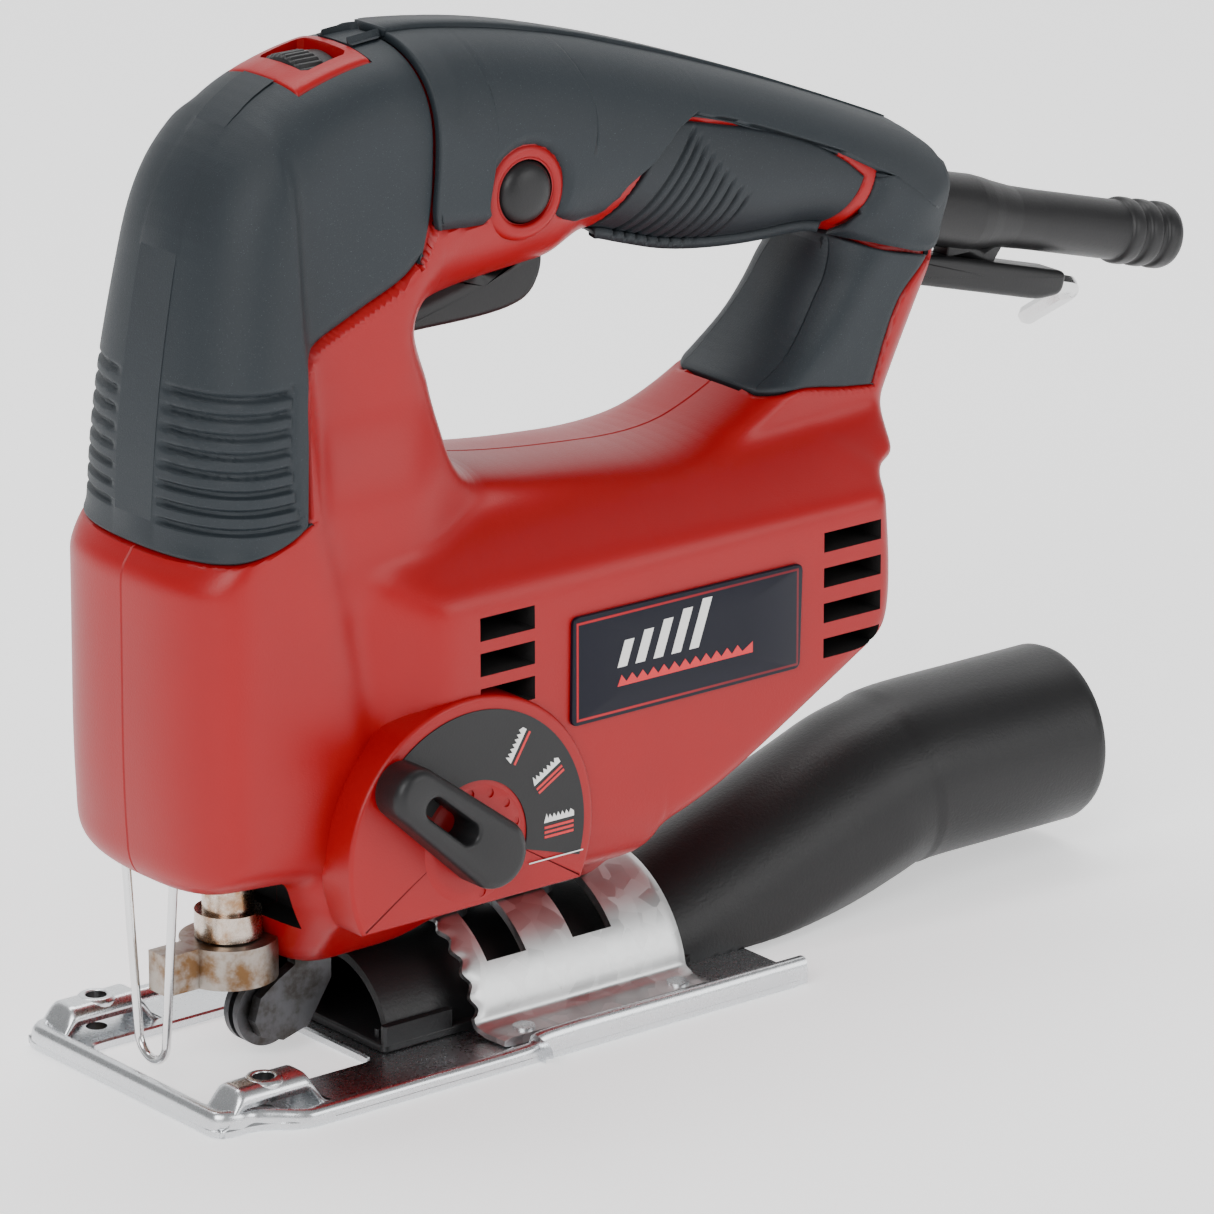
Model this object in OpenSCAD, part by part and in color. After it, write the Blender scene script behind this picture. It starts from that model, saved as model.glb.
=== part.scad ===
// Corded pendulum jigsaw: D-handle body on a tilting base plate.
// Frame: +X to the rear, +Z up, Y = 0 on the parting plane of the two casing halves.
// The origin is on the underside of the base plate, 68 mm behind its front edge.

/* [Base plate] */
// Length of the base plate
shoe_len = 139; // [132:1:170]
// Distance from the plate's front edge to the origin
shoe_front = 68; // [66:1:72]
// Half width of the plate over its rails
shoe_half = 37.5; // [34:0.5:44]
// Half width of the narrower front part
shoe_nose_half = 32; // [29:0.5:33]
// Thickness of the plate's sheet
shoe_t = 2; // [1.6:0.1:2.2]
// Height of the rail behind the step
rail_h = 5.7; // [5:0.1:6.2]
// Height of the rail in front of the step
rail_front_h = 3.6; // [3:0.1:4.5]
// Half width of the cut-out for the blade
cutout_half = 20; // [18:0.5:22.5]
// Diameter of the two fence screw holes
fence_screw_d = 4.2; // [3.2:0.1:5]

/* [Bevel bracket] */
// Outer radius of the half-round bracket
arch_r = 24.5; // [23.5:0.25:27]
// Thickness of the bracket's sheet
arch_t = 1.8; // [1.4:0.1:2]
// Length of the bracket
arch_len = 52; // [44:1:54]
// Greatest tilt to either side
bevel_max = 45; // [30:5:45]

/* [Dust adapter] */
// Outer diameter of the hose port
port_d = 37; // [33:0.5:39]
// Wall of the dust adapter
port_wall = 1.8; // [1.4:0.1:2.4]
// Where the port ends behind the origin
port_end_x = 166; // [150:1:180]
// Height of the port's axis
port_z = 22; // [21:0.5:24]

/* [Casing] */
// Half width of the motor housing
body_half = 33; // [31:0.5:42]
// Half width of the gear housing at the front
front_half = 26; // [25:0.5:29]
// Half width of the handle
handle_half = 17.5; // [16.5:0.5:21]
// Thickness of the soft covers
skin = 2; // [1.6:0.1:2.4]

/* [Motor] */
// Outer radius of the stator
stator_r = 25; // [22:0.5:25.5]
// Length of the stator stack
stator_len = 42; // [34:1:42]
// Air gap between armature and stator
air_gap = 0.6; // [0.5:0.1:1]
// Radius of the armature core
core_r = 15.5; // [13:0.5:16]
// Height of the motor's axis
motor_z = 71; // [70:0.5:72]
// Radius of the armature shaft
shaft_r = 4; // [3.5:0.25:4.25]

/* [Gears and plunger] */
// Gear module
gear_m = 1; // [0.9:0.05:1.02]
// Teeth on the pinion
pinion_teeth = 8; // [8:1:9]
// Teeth on the gear wheel
wheel_teeth = 44; // [40:2:44]
// Face width of the gear wheel
wheel_w = 7; // [5:0.5:8]
// Half of the plunger's stroke
crank_r = 9; // [7:0.5:9.5]
// Radius of the plunger rod
rod_r = 5; // [4:0.25:5.5]
// Distance from the origin forward to the plunger's axis
rod_back = 42; // [41:0.5:43]

/* [Controls] */
// Travel of the trigger
trigger_travel = 6; // [4:0.5:6.5]
// Radius of the lock button
lock_r = 6; // [5:0.25:6.5]
// Radius of the speed wheel
speed_r = 11; // [10:0.5:12]

/* [Hidden] */
$fn = 64;

// Clearances
slip = 0.04;        // shaft in a bush, on radius
gap = 0.35;         // faces on different moving bodies
air = 1;            // loose space inside the casing
eps = 0.01;         // lets a cut run past a face

// Base plate
shoe_x0 = -shoe_front;
shoe_x1 = shoe_len - shoe_front;
rail_x0 = -52;      // where the plate reaches its full width
step_x = 4;         // where the rails become higher
cut_x0 = shoe_x0 + 7;
cut_x1 = -23;
bridge_x = [-63, -45];
bridge_y = [23, 31.5];
bridge_h = 8.6;
fence_x = (bridge_x[0] + bridge_x[1]) / 2;
fence_y = (bridge_y[0] + bridge_y[1]) / 2;
bridge_t = 1.8;

// Bevel bracket
arch_x0 = -1;
arch_x1 = arch_x0 + arch_len;
arch_in = arch_r - arch_t;
foot_t = 1.6;
foot_reach = 9;
saddle_x1 = 39;
screw_x = [10, 31];
slot_w = 9.6;
bevel_screw_r = 2;

// Dust adapter
port_r = port_d / 2;
duct_r = arch_in - 4.8;    // leaves the bevel screws their swing
bend_x = 122;
duct_x0 = -17;
floor_t = 2.4;
rise_x = 56;

// Motor line, front to rear
pinion_x = -24;
pinion_len = 10;
case_x = [-13, -6];
fan_x = [-3.5, 6.5];
stack_x0 = 15;
stack_x1 = stack_x0 + stator_len;
coil_out = 6.5;
comm_x = [stack_x1 + coil_out + 3.5, stack_x1 + coil_out + 15.5];
comm_r = 11;
rear_bearing_x = [82, 88];
bearing_r = 9.5;
cavity_r = stator_r + air;

// Gears
pinion_pr = gear_m * pinion_teeth / 2;
wheel_pr = gear_m * wheel_teeth / 2;
wheel_z = motor_z + pinion_pr + wheel_pr;
wheel_x = [-23, -23 + wheel_w];
axle_r = 3;
pin_r = 3;

// Plunger
rod_x = -rod_back;
rod_top = 133;
bush_r = rod_r + 2.5;
arm_x0 = rod_x - bush_r - 2.5;
bush_z = [121.5, 131.5];
low_bush_z = [50, 60];
yoke_x = [-36, -28];
yoke_half_y = crank_r + pin_r + 3.4;
yoke_half_z = pin_r + 3.8;
ring_z = [18, 26];
ring_r = 9.5;
collar_z = [ring_z[1] + gap, 31.5];
collar_r = 6.5;
insert_r = 3.4;
insert_z0 = 17.4;
tab_reach = 16.6;
tab_half = 2.9;

// Guide roller
roller_x = -34.6;
roller_z = 9.6;
roller_r = 7.2;
roller_w = 4.4;
fork_pivot = [-26, 38];
fork_half = 5;
roller_pin_r = 1.5;
fork_pin_r = 2;

// Handle and controls
trigger_x = [-6, 29];
trigger_z = [139.5, 150];
lock_x = 16.5;
lock_z = 166;
dial_x = [-33, -15];
speed_c = [-22, 185];
speed_half = 4.5;
speed_hub_r = 2.5;
bezel_half = 11;
selector_c = [-9, 46.4];
boss_r = 29;
boss_out = 0.8;
boss_z0 = 33.5;     // stays clear of the rail when the body tilts
boss_y = body_half + boss_out;
selector_shaft_r = 3.5;
label_x = [15, 72];
label_z = [64, 86];
label_t = 0.5;

// ---------- shared shapes ----------

// Cylinder along X from x0 to x1
module bar_x(r, x0, x1, y = 0, z = 0) {
    translate([x0, y, z]) rotate([0, 90, 0]) cylinder(r = r, h = x1 - x0);
}
// Cylinder along Y from y0 to y1
module bar_y(r, y0, y1, x = 0, z = 0) {
    translate([x, y0, z]) rotate([-90, 0, 0]) cylinder(r = r, h = y1 - y0);
}
// Ring along X
module ring_x(ro, ri, x0, x1, y = 0, z = 0) {
    difference() {
        bar_x(ro, x0, x1, y, z);
        bar_x(ri, x0 - 1, x1 + 1, y, z);
    }
}
// Box from its low corner to its high corner
module block(lo, hi) {
    translate(lo) cube(hi - lo);
}
// XZ outline given half-way across, from y0 to y1
module slab(points, y0, y1) {
    translate([0, y1, 0]) rotate([90, 0, 0]) linear_extrude(y1 - y0) polygon(points);
}
// YZ outline carried along X
module beam(points, x0, x1) {
    translate([x0, 0, 0]) rotate([90, 0, 90]) linear_extrude(x1 - x0) polygon(points);
}
// A list of half-section points with its mirror image
function both_sides(p) = concat(p, [for (i = [len(p) - 1:-1:0]) [-p[i][0], p[i][1]]]);
// Spur gear outline: straight-flanked teeth, thinned for backlash
function gear_points(n, m, shift = 0, thin = 0.06) = [
    for (i = [0:n - 1], k = [0:3])
        let (pr = n * m / 2,
             r = k == 0 || k == 3 ? pr - 1.15 * m : pr + 0.9 * m,
             half = k == 0 || k == 3 ? 0.95 * m : 0.36 * m,
             w = (half - thin) / r * 180 / PI,
             a = 360 * (i + shift) / n + (k < 2 ? -w : w))
        [r * cos(a), r * sin(a)]];
module gear_x(n, m, x0, x1, z, shift) {
    translate([x0, 0, z]) rotate([90, 0, 90]) linear_extrude(x1 - x0) polygon(gear_points(n, m, shift));
}
// Coil spring shown as its turns, along Z
module spring_z(r, wire, z0, z1, turns, x, y) {
    pitch = (z1 - z0 - wire) / (turns - 1);
    for (i = [0:turns - 1])
        translate([x, y, z0 + wire / 2 + i * pitch])
            rotate_extrude() translate([r, 0]) circle(d = wire, $fn = 16);
    if (turns > 1) block([x + r - wire / 4, y - wire / 4, z0 + wire / 2],
                         [x + r + wire / 4, y + wire / 4, z1 - wire / 2]);
}

// ---------- outlines of the casing ----------

// Handle, column and gear housing as one D-shaped outline
grip_top = [[-61, 130], [-58, 150], [-53, 175], [-38, 190], [-22, 195.5], [-6, 197], [20, 193], [48, 186],
    [86, 172.5], [124, 156.5], [135, 147]];
column_rear = [[130, 146], [124, 134], [113, 112], [106, 96], [99, 96]];
hole = [[-5, 144], [-3, 132], [1, 113.5], [22, 110], [59, 107], [72, 113], [84, 117], [97, 135], [99, 141],
    [94, 144.5], [76, 144], [58, 146], [45, 150], [38, 152.5], [29, 148], [10, 146]];
belly = [[101, 76], [99, 64], [62, 43], [saddle_x1 + 3, 33.4], [saddle_x1, 21], [arch_x0 - gap, 21]];
skirt = [[-6, 19.2], [-28, 18.6], [-34, 21], [-40, 40]];
front_line = [[-62.5, 41], [-64.8, 45], [-65.7, 60], [-65.4, 104], [-63, 108]];
d_outline = concat(grip_top, column_rear, belly, skirt, front_line);

// Half sections of the zones of the casing, from the bottom up
body_section = both_sides([[10.5, 19.2], [22.5, 32.5], [27.5, 30], [body_half - 2, 36],
    [body_half, 45], [body_half, 94], [front_half - 2, 104], [handle_half, 113], [handle_half - 3, 116]]);
skirt_section = both_sides([[13.5, 17], [14.5, 19.5], [front_half, 37], [front_half, 48]]);

module d_profile(y0, y1) { slab(d_outline, y0, y1); }

// Solid outer form of the casing before it is split and hollowed
module casing_form() {
    // motor housing
    intersection() {
        d_profile(-body_half, body_half);
        beam(body_section, -28, 102);
    }
    // gear housing, with its outer front corners cut off
    intersection() {
        d_profile(-front_half, front_half);
        union() {
            slab([[-80, 40], [-20, 40], [-8, 144], [-2, 150], [-2, 200], [-80, 200]], -front_half, front_half);
            beam(skirt_section, -41, arch_x0 - gap);
        }
        translate([0, 0, -1]) linear_extrude(220) polygon([[0, -front_half], [-58, -front_half],
            [-63, -front_half + 6], [-67, -12], [-67, 12], [-63, front_half - 6], [-58, front_half],
            [0, front_half]]);
    }
    // handle and rear column
    intersection() {
        difference() {
            d_profile(-handle_half, handle_half);
            slab(hole, -handle_half - 1, handle_half + 1);
        }
        block([-10, -handle_half, 96], [140, handle_half, 200]);
    }
    // round boss behind the pendulum selector, cut level with the lower edge of the casing
    intersection() {
        bar_y(boss_r, -boss_y, -body_half + 3, selector_c[0], selector_c[1]);
        block([-60, -60, boss_z0], [40, 0, 120]);
    }
}
// Space that the soft covers and the red bezel take from the casing
module nose_zone(d) {
    slab([[-80, 106], [-63, 108], [-40, 114], [-39, 141], [-11, 155], [-7, 164], [-8, 179], [-6.5, 202],
        [-80, 202]], -front_half - d, front_half + d);
}
module grip_zone(d) {
    slab([[-6, 202], [-7, 179], [-6.2, 164], [-4, 159], [33, 153.5], [45, 149.5], [58, 145.6], [76, 143.6],
        [95, 141], [110, 137], [125, 134], [140, 141], [140, 202]], -handle_half - d, handle_half + d);
}
module rear_zone(d) {
    slab([[60, 108], [76, 116], [100, 111], [108, 124], [121, 134.5], [110, 137], [95, 141], [60, 141]],
        -handle_half - d, handle_half + d);
}
// Casing form shrunk by the thickness of a cover, near the handle and nose
module casing_core() {
    slab([[-59, 100], [-59, 131], [-56, 150], [-51, 174], [-37, 187.8], [-22, 193.3], [-6, 194.8], [20, 190.8],
        [48, 183.8], [86, 170.3], [123, 154.5], [131, 147], [122, 136], [110, 114], [100, 96], [64, 116],
        [84, 120], [95, 136], [97, 143], [76, 146], [58, 148.2], [45, 152.2], [38, 154.5], [-7, 158.5],
        [-11, 100]], -handle_half + skin, handle_half - skin);
    slab([[-59, 100], [-59, 131], [-56, 150], [-51, 174], [-37, 187.8], [-22, 193.3], [-9, 194.6], [-9, 100]],
        -front_half + 4, front_half - 4);
}
// Everything the casing is hollowed for
module casing_hollow() {
    // motor: fan, stator seat, commutator, bearing seat, side air ways
    bar_x(cavity_r, -5, stack_x0 + eps, 0, motor_z);
    bar_x(stator_r, stack_x0, stack_x1, 0, motor_z);
    bar_x(cavity_r, stack_x1 - eps, rear_bearing_x[0] - 1, 0, motor_z);
    bar_x(bearing_r, rear_bearing_x[0] - 2, rear_bearing_x[1], 0, motor_z);
    for (s = [-1, 1]) block([rear_bearing_x[0] - 2, s < 0 ? -30 : 13, 66], [96, s < 0 ? -13 : 30, 93]);
    // gear case and gear wheel
    block([arm_x0, -14.5, low_bush_z[0]], [case_x[1], 14.5, bush_z[1]]);
    block([case_x[1] - eps, -9, motor_z - 9], [-4.9, 9, motor_z + 9]);
    bar_x(wheel_pr + gear_m + 1.2, -25, case_x[0] - 1, 0, wheel_z);
    // plunger with its yoke, and the opening at the bottom
    block([-52, -yoke_half_y - 1, 46], [-26, yoke_half_y + 1, 121]);
    block([-61.3, -12.5, 10], [-30, 12.5, 47]);
    block([rod_x - rod_r - 0.8, -rod_r - 0.8, bush_z[0]], [rod_x + rod_r + 0.8, rod_r + 0.8, 152]);
    // pendulum fork
    block([-30.01, -fork_half - 1, 10], [-18, fork_half + 1, 46]);
    bar_y(fork_pin_r, -9, 9, fork_pivot[0], fork_pivot[1]);
    // trigger, switch and speed board
    block([trigger_x[0] - 0.5, -8, 139.1], [trigger_x[1] + 0.5, 8, 160 + eps]);
    block([0, -9, 160], [34, 9, 174]);
    block([-34, -12, 170], [-10, 12, 181]);
    // cord room in front of its sleeve
    block([100, -5.5, 143], [115, 5.5, 151]);
    // pendulum selector shaft
    bar_y(selector_shaft_r + gap, -boss_y - 1, -12, selector_c[0], selector_c[1]);
}
// The casing's half-round seat on the bevel bracket
module saddle_cut() {
    bar_x(arch_r + gap, arch_x0 - gap, shoe_x1 + 60);
    for (x = screw_x) translate([x, 0, arch_in - 4]) cylinder(r = bevel_screw_r, h = 17);
}
// Air slots in both side walls
module vents() {
    for (s = [-1, 1]) {
        for (z = [74, 81, 88])
            block([-4.5, s < 0 ? -body_half - 2 : 16, z], [7, s < 0 ? -16 : body_half + 2, z + 4.2]);
        for (z = [66, 74, 82, 90])
            block([84, s < 0 ? -body_half - 2 : 20, z], [104, s < 0 ? -20 : body_half + 2, z + 3]);
    }
}
// x, z and seat depth of the screws that hold the halves together
bolt_points = [[-58.6, 56, 20], [-48, 162, 16], [60, 152, 12], [104, 127, 12], [92, 103, 14],
    [66, 102.5, 14], [-14, 141, 16], [38, 38.5, 20]];
bolt_r = 1.9;
bolt_head_r = 3.6;
module bolt_shanks() {
    for (p = bolt_points) bar_y(bolt_r, -p[2] + 4, p[2] - 3, p[0], p[1]);
}
module bolt_head_holes() {
    for (p = bolt_points) bar_y(bolt_head_r + 0.2, p[2] - 3, 60, p[0], p[1]);
}
module dial_cut() {
    block([dial_x[0], -bezel_half, 181 - eps], [dial_x[1], bezel_half, 210]);
}
module lock_cut() {
    bar_y(9.8, -40, -handle_half + 5.5, lock_x, lock_z);
    bar_y(lock_r - 1, -40, 0, lock_x, lock_z);
}
// Axis of the cord sleeve: its mouth and how steeply it drops
sleeve_c = [139, 137.5];
sleeve_drop = 15;
sleeve_in = 26;
sleeve_len = 58;
sleeve_r = 7.6;
cord_r = 3.6;
module at_sleeve() {
    translate([sleeve_c[0], 0, sleeve_c[1]]) rotate([0, 90 + sleeve_drop, 0]) children();
}
module sleeve_cut() {
    at_sleeve() translate([0, 0, -sleeve_in]) cylinder(r = sleeve_r, h = sleeve_in + 30);
    at_sleeve() clip_form();
}
module label_cut() {
    for (s = [-1, 1]) translate([0, s * body_half, 0])
        block([label_x[0], -label_t, label_z[0]], [label_x[1], label_t, label_z[1]]);
}
module half(side) {
    intersection() {
        children();
        block([-200, side < 0 ? -100 : 0, -10], [300, side < 0 ? 0 : 100, 300]);
    }
}
module housing_body() {
    difference() {
        union() {
            difference() {
                casing_form();
                nose_zone(1);
                grip_zone(1);
                rear_zone(1);
            }
            casing_core();
        }
        casing_hollow();
        saddle_cut();
        vents();
        dial_cut();
        lock_cut();
        sleeve_cut();
        label_cut();
        wire_guard_form();
        bolt_shanks();
    }
}

// ---------- casing ----------

module housing_left() {
    color("firebrick") half(-1) housing_body();
}
module housing_right() {
    color("firebrick") half(1) difference() {
        housing_body();
        bolt_head_holes();
    }
}
// What every soft cover leaves free
module cover_cuts() {
    casing_core();
    dial_cut();
    lock_cut();
    sleeve_cut();
    bolt_head_holes();
    block([trigger_x[0] - 0.5, -8, 139.1], [trigger_x[1] + 0.5, 8, 160]);
}
module nose_cover() {
    color("darkslategray") difference() {
        intersection() {
            casing_form();
            nose_zone(1);
        }
        cover_cuts();
    }
}
module handle_grip() {
    color("darkslategray") difference() {
        intersection() {
            casing_form();
            grip_zone(1);
        }
        nose_zone(2);
        cover_cuts();
        finger_pad_form();
    }
}
module rear_grip() {
    color("darkslategray") difference() {
        intersection() {
            casing_form();
            rear_zone(1);
        }
        grip_zone(2);
        cover_cuts();
    }
}
pad_points = [[35, 148.5], [41, 158], [47, 170], [81, 162], [98, 151], [92, 145.5], [58, 148]];
pad_t = 1.2;
module finger_pad_form() {
    slab(pad_points, -handle_half - 1, -handle_half + pad_t);
    slab(pad_points, handle_half - pad_t, handle_half + 1);
}
module finger_pads() {
    color("dimgray") difference() {
        intersection() {
            finger_pad_form();
            slab(d_outline, -handle_half, handle_half);
        }
        bolt_head_holes();
    }
}
module housing_screws() {
    color("silver") {
        bolt_shanks();
        for (p = bolt_points) difference() {
            bar_y(bolt_head_r, p[2] - 3, p[2] - 0.5, p[0], p[1]);
            bar_y(1.6, p[2] - 2, p[2], p[0], p[1], $fn = 6);
        }
    }
}
module label_left() {
    color("midnightblue")
        block([label_x[0], -body_half, label_z[0]], [label_x[1], -body_half + label_t, label_z[1]]);
}
module label_right() {
    color("midnightblue")
        block([label_x[0], body_half - label_t, label_z[0]], [label_x[1], body_half, label_z[1]]);
}
// Lever direction at rest, up and to the front
lever_a = 140;
decal_r = [12.4, 27];
decal_t = 0.3;
decal_edge = 7;
module selector_decal() {
    u = [cos(lever_a), sin(lever_a)];
    n = [-sin(lever_a), cos(lever_a)];
    color("black") intersection() {
        translate([selector_c[0], -boss_y, selector_c[1]]) rotate([90, 0, 0]) linear_extrude(decal_t)
            difference() {
                circle(r = decal_r[1]);
                circle(r = decal_r[0]);
            }
        translate([selector_c[0], 0, selector_c[1]])
            slab([[40, -decal_edge], [-3, -decal_edge], decal_edge * n, decal_edge * n + 45 * u, [-45, 60], [40, 60]],
                -boss_y - 1, -boss_y + 1);
    }
}
module dial_bezel() {
    color("red") difference() {
        intersection() {
            casing_form();
            block([dial_x[0], -bezel_half, 181], [dial_x[1], bezel_half, 210]);
        }
        bar_x(speed_r + gap, speed_c[0] - speed_half - gap, speed_c[0] + speed_half + gap, 0, speed_c[1]);
        block([speed_c[0] - speed_half - gap, -7.2, speed_c[1]], [speed_c[0] + speed_half + gap, 7.2, 210]);
        bar_x(speed_hub_r + slip, speed_c[0] - speed_half - 2.5, speed_c[0] + speed_half + 2.5, 0, speed_c[1]);
    }
}
module lock_ring() {
    color("red") difference() {
        bar_y(9.8, -handle_half - 0.6, -handle_half + 5.5, lock_x, lock_z);
        bar_y(lock_r + gap, -handle_half - 2, -handle_half + 6, lock_x, lock_z);
    }
}
// Rod between two points
module rod(p, q, r) {
    d = q - p;
    translate(p) rotate([0, acos(d[2] / norm(d)), atan2(d[1], d[0])]) cylinder(r = r, h = norm(d));
}
guard_x = -60;
guard_r = 0.9;
guard_loop = 4.5;
guard_z = 9.5;
module wire_guard_form() {
    for (s = [-1, 1]) {
        rod([guard_x, s * guard_loop, guard_z], [guard_x, s * 8.6, 53], guard_r);
        translate([guard_x, s * guard_loop, guard_z]) sphere(r = guard_r);
    }
    translate([guard_x, 0, guard_z]) rotate([0, 0, 90]) rotate([90, 0, 0]) rotate([0, 0, 180])
        rotate_extrude(angle = 180) translate([guard_loop, 0]) circle(r = guard_r, $fn = 24);
}
module wire_guard() {
    color("silver") wire_guard_form();
}
module cord_sleeve() {
    color("black") at_sleeve() difference() {
        union() {
            translate([0, 0, -sleeve_in]) cylinder(r = sleeve_r, h = sleeve_in + 6);
            translate([0, 0, 5.9]) cylinder(r1 = sleeve_r, r2 = 6.2, h = 8);
            translate([0, 0, 13.8]) cylinder(r = 6.2, h = sleeve_len - 13.8);
            for (k = [0:2]) translate([0, 0, sleeve_len - 14 + 5 * k]) cylinder(r = 6.9, h = 3);
        }
        translate([0, 0, -sleeve_in - 1]) cylinder(r = cord_r, h = sleeve_len + sleeve_in + 2);
        clip_form();
    }
}
// Holder for the hex key under the sleeve; local X points down
clip_x = 12.3;
key_r = 2;
module clip_form() {
    block([clip_x - 3.4, -4.5, -14], [clip_x + 3.2, 4.5, 30]);
    block([5.5, -2.5, -2], [clip_x - 3.3, 2.5, 12]);
}
module key_clip() {
    color("black") at_sleeve() difference() {
        clip_form();
        translate([clip_x, 0, 0]) cylinder(r = key_r + 0.1, h = 40);
    }
}
module hex_key() {
    color("silver") at_sleeve() {
        translate([clip_x, 0, 2]) cylinder(r = key_r, h = 35, $fn = 6);
        translate([clip_x, 0, 37]) sphere(r = key_r);
        rod([clip_x, 0, 37], [clip_x + 9.4, 13, 37], key_r, $fn = 6);
    }
}
module cord_clamp() {
    color("dimgray") block([102, -5.5, 147.5], [110, 5.5, 151]);
}

// ---------- base plate, bracket and dust adapter ----------

module bridge(s) {
    y0 = s < 0 ? -bridge_y[1] : bridge_y[0];
    y1 = s < 0 ? -bridge_y[0] : bridge_y[1];
    block([bridge_x[0], y0, 0], [bridge_x[1], y1, bridge_h]);
}
module bridge_channel() {
    for (s = [-1, 1]) block([bridge_x[0] + bridge_t, s < 0 ? -shoe_half - 1 : cutout_half - 1, -1],
        [bridge_x[1] - bridge_t, s < 0 ? 1 - cutout_half : shoe_half + 1, bridge_h - bridge_t]);
}
module base_plate() {
    color("lightgray") difference() {
        union() {
            linear_extrude(shoe_t) polygon([[shoe_x0, -shoe_nose_half + 3], [shoe_x0 + 3, -shoe_nose_half],
                [rail_x0 - 6, -shoe_nose_half], [rail_x0, -shoe_half], [shoe_x1, -shoe_half],
                [shoe_x1, shoe_half], [rail_x0, shoe_half], [rail_x0 - 6, shoe_nose_half],
                [shoe_x0 + 3, shoe_nose_half], [shoe_x0, shoe_nose_half - 3]]);
            for (s = [-1, 1]) {
                y0 = s < 0 ? -shoe_half : shoe_half - 1.8;
                block([rail_x0 + 8, y0, 0], [step_x + eps, y0 + 1.8, rail_front_h]);
                block([step_x, y0, 0], [shoe_x1, y0 + 1.8, rail_h]);
                bridge(s);
            }
            block([shoe_x0, -shoe_nose_half + 3, 0], [shoe_x0 + 1.8, shoe_nose_half - 3, 5]);
        }
        block([cut_x0, -cutout_half, -1], [cut_x1, cutout_half, 30]);
        bridge_channel();
        for (s = [-1, 1]) translate([fence_x, s * fence_y, -1]) cylinder(d = fence_screw_d, h = 20);
        for (x = screw_x) translate([x, 0, -1]) cylinder(r = 4, h = shoe_t + 2);
    }
}
module bevel_bracket() {
    slot_a = bevel_max + 7;
    color("silver") difference() {
        union() {
            intersection() {
                ring_x(arch_r, arch_in, arch_x0, arch_x1);
                block([arch_x0 - 1, -50, shoe_t], [arch_x1 + 1, 50, 50]);
            }
            for (s = [-1, 1]) block([arch_x0 + 2, s < 0 ? -arch_in - foot_reach : arch_r - 1, shoe_t],
                [arch_x1, s < 0 ? -arch_r + 1 : arch_in + foot_reach, shoe_t + foot_t]);
        }
        bar_x(arch_in, arch_x0 - 1, arch_x1 + 1);
        for (x = screw_x) beam([[0, 0], [60 * sin(slot_a), 60 * cos(slot_a)], [0, 90],
            [-60 * sin(slot_a), 60 * cos(slot_a)]], x - slot_w / 2, x + slot_w / 2);
        for (a = [-72:12:72]) rotate([a, 0, 0]) translate([arch_x0, 0, arch_in - 1])
            linear_extrude(arch_t + 3) polygon([[-1, -2.2], [1.6, 0], [-1, 2.2]]);
    }
}
module bracket_rivets() {
    color("silver") for (x = [arch_x0 + 8, arch_x1 - 6], s = [-1, 1])
        translate([x, s * (arch_r + 4), shoe_t + foot_t]) cylinder(r = 2.2, h = 0.8);
}
// Duct form: half-round under the bracket, rising, then a level round port
module duct_form(less, floor_z) {
    intersection() {
        union() {
            bar_x(duct_r - less, duct_x0 - (less > 0 ? 1 : 0), rise_x);
            translate([rise_x, 0, 0]) sphere(r = duct_r - less);
            rod([rise_x, 0, 0], [bend_x, 0, port_z], duct_r - less);
            translate([bend_x, 0, port_z]) sphere(r = port_r - less);
            bar_x(port_r - less, bend_x, port_end_x + (less > 0 ? 1 : 0), 0, port_z);
        }
        block([-100, -60, floor_z], [300, 60, 100]);
    }
}
module dust_adapter() {
    color("black") difference() {
        union() {
            duct_form(0, shoe_t);
            block([duct_x0 - 3, -20, shoe_t], [rise_x, 20, shoe_t + floor_t]);
        }
        duct_form(port_wall, shoe_t + floor_t);
    }
}

// ---------- gear case, bearings and motor ----------

module gear_case() {
    color("gray") difference() {
        union() {
            block([case_x[0], -14.5, low_bush_z[0]], [case_x[1], 14.5, bush_z[1]]);
            for (z = [bush_z, low_bush_z]) block([arm_x0, -10, z[0]], [case_x[0] + eps, 10, z[1]]);
        }
        translate([rod_x, 0, low_bush_z[0] - 1]) cylinder(r = bush_r, h = 100);
        bar_x(bearing_r, case_x[0] - 1, case_x[1] + 1, 0, motor_z);
        bar_x(axle_r, case_x[0] - 1, case_x[1] + 1, 0, wheel_z);
    }
}
module bush(z) {
    color("goldenrod") translate([rod_x, 0, z[0]]) difference() {
        cylinder(r = bush_r, h = z[1] - z[0]);
        translate([0, 0, -1]) cylinder(r = rod_r + slip, h = 20);
    }
}
module bush_upper() { bush(bush_z); }
module bush_lower() { bush(low_bush_z); }
module front_bearing() { color("silver") ring_x(bearing_r, shaft_r + slip, case_x[0], case_x[1], 0, motor_z); }
module rear_bearing() {
    color("silver") ring_x(bearing_r, shaft_r + slip, rear_bearing_x[0], rear_bearing_x[1], 0, motor_z);
}
module gear_axle() { color("gray") bar_x(axle_r, wheel_x[0] + 0.3, case_x[1], 0, wheel_z); }
module stator_stack() {
    color("gray") ring_x(stator_r, core_r + air_gap, stack_x0, stack_x1, 0, motor_z);
}
module stator_windings() {
    color("peru") for (x = [stack_x0 - coil_out, stack_x1])
        ring_x(stator_r - 2, core_r + air_gap + 1.5, x, x + coil_out, 0, motor_z);
}
module air_baffle() {
    color("black") ring_x(cavity_r, 13, fan_x[1] + gap, fan_x[1] + gap + 1.2, 0, motor_z);
}
brush_half = 3;
brush_x = (comm_x[0] + comm_x[1]) / 2;
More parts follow.
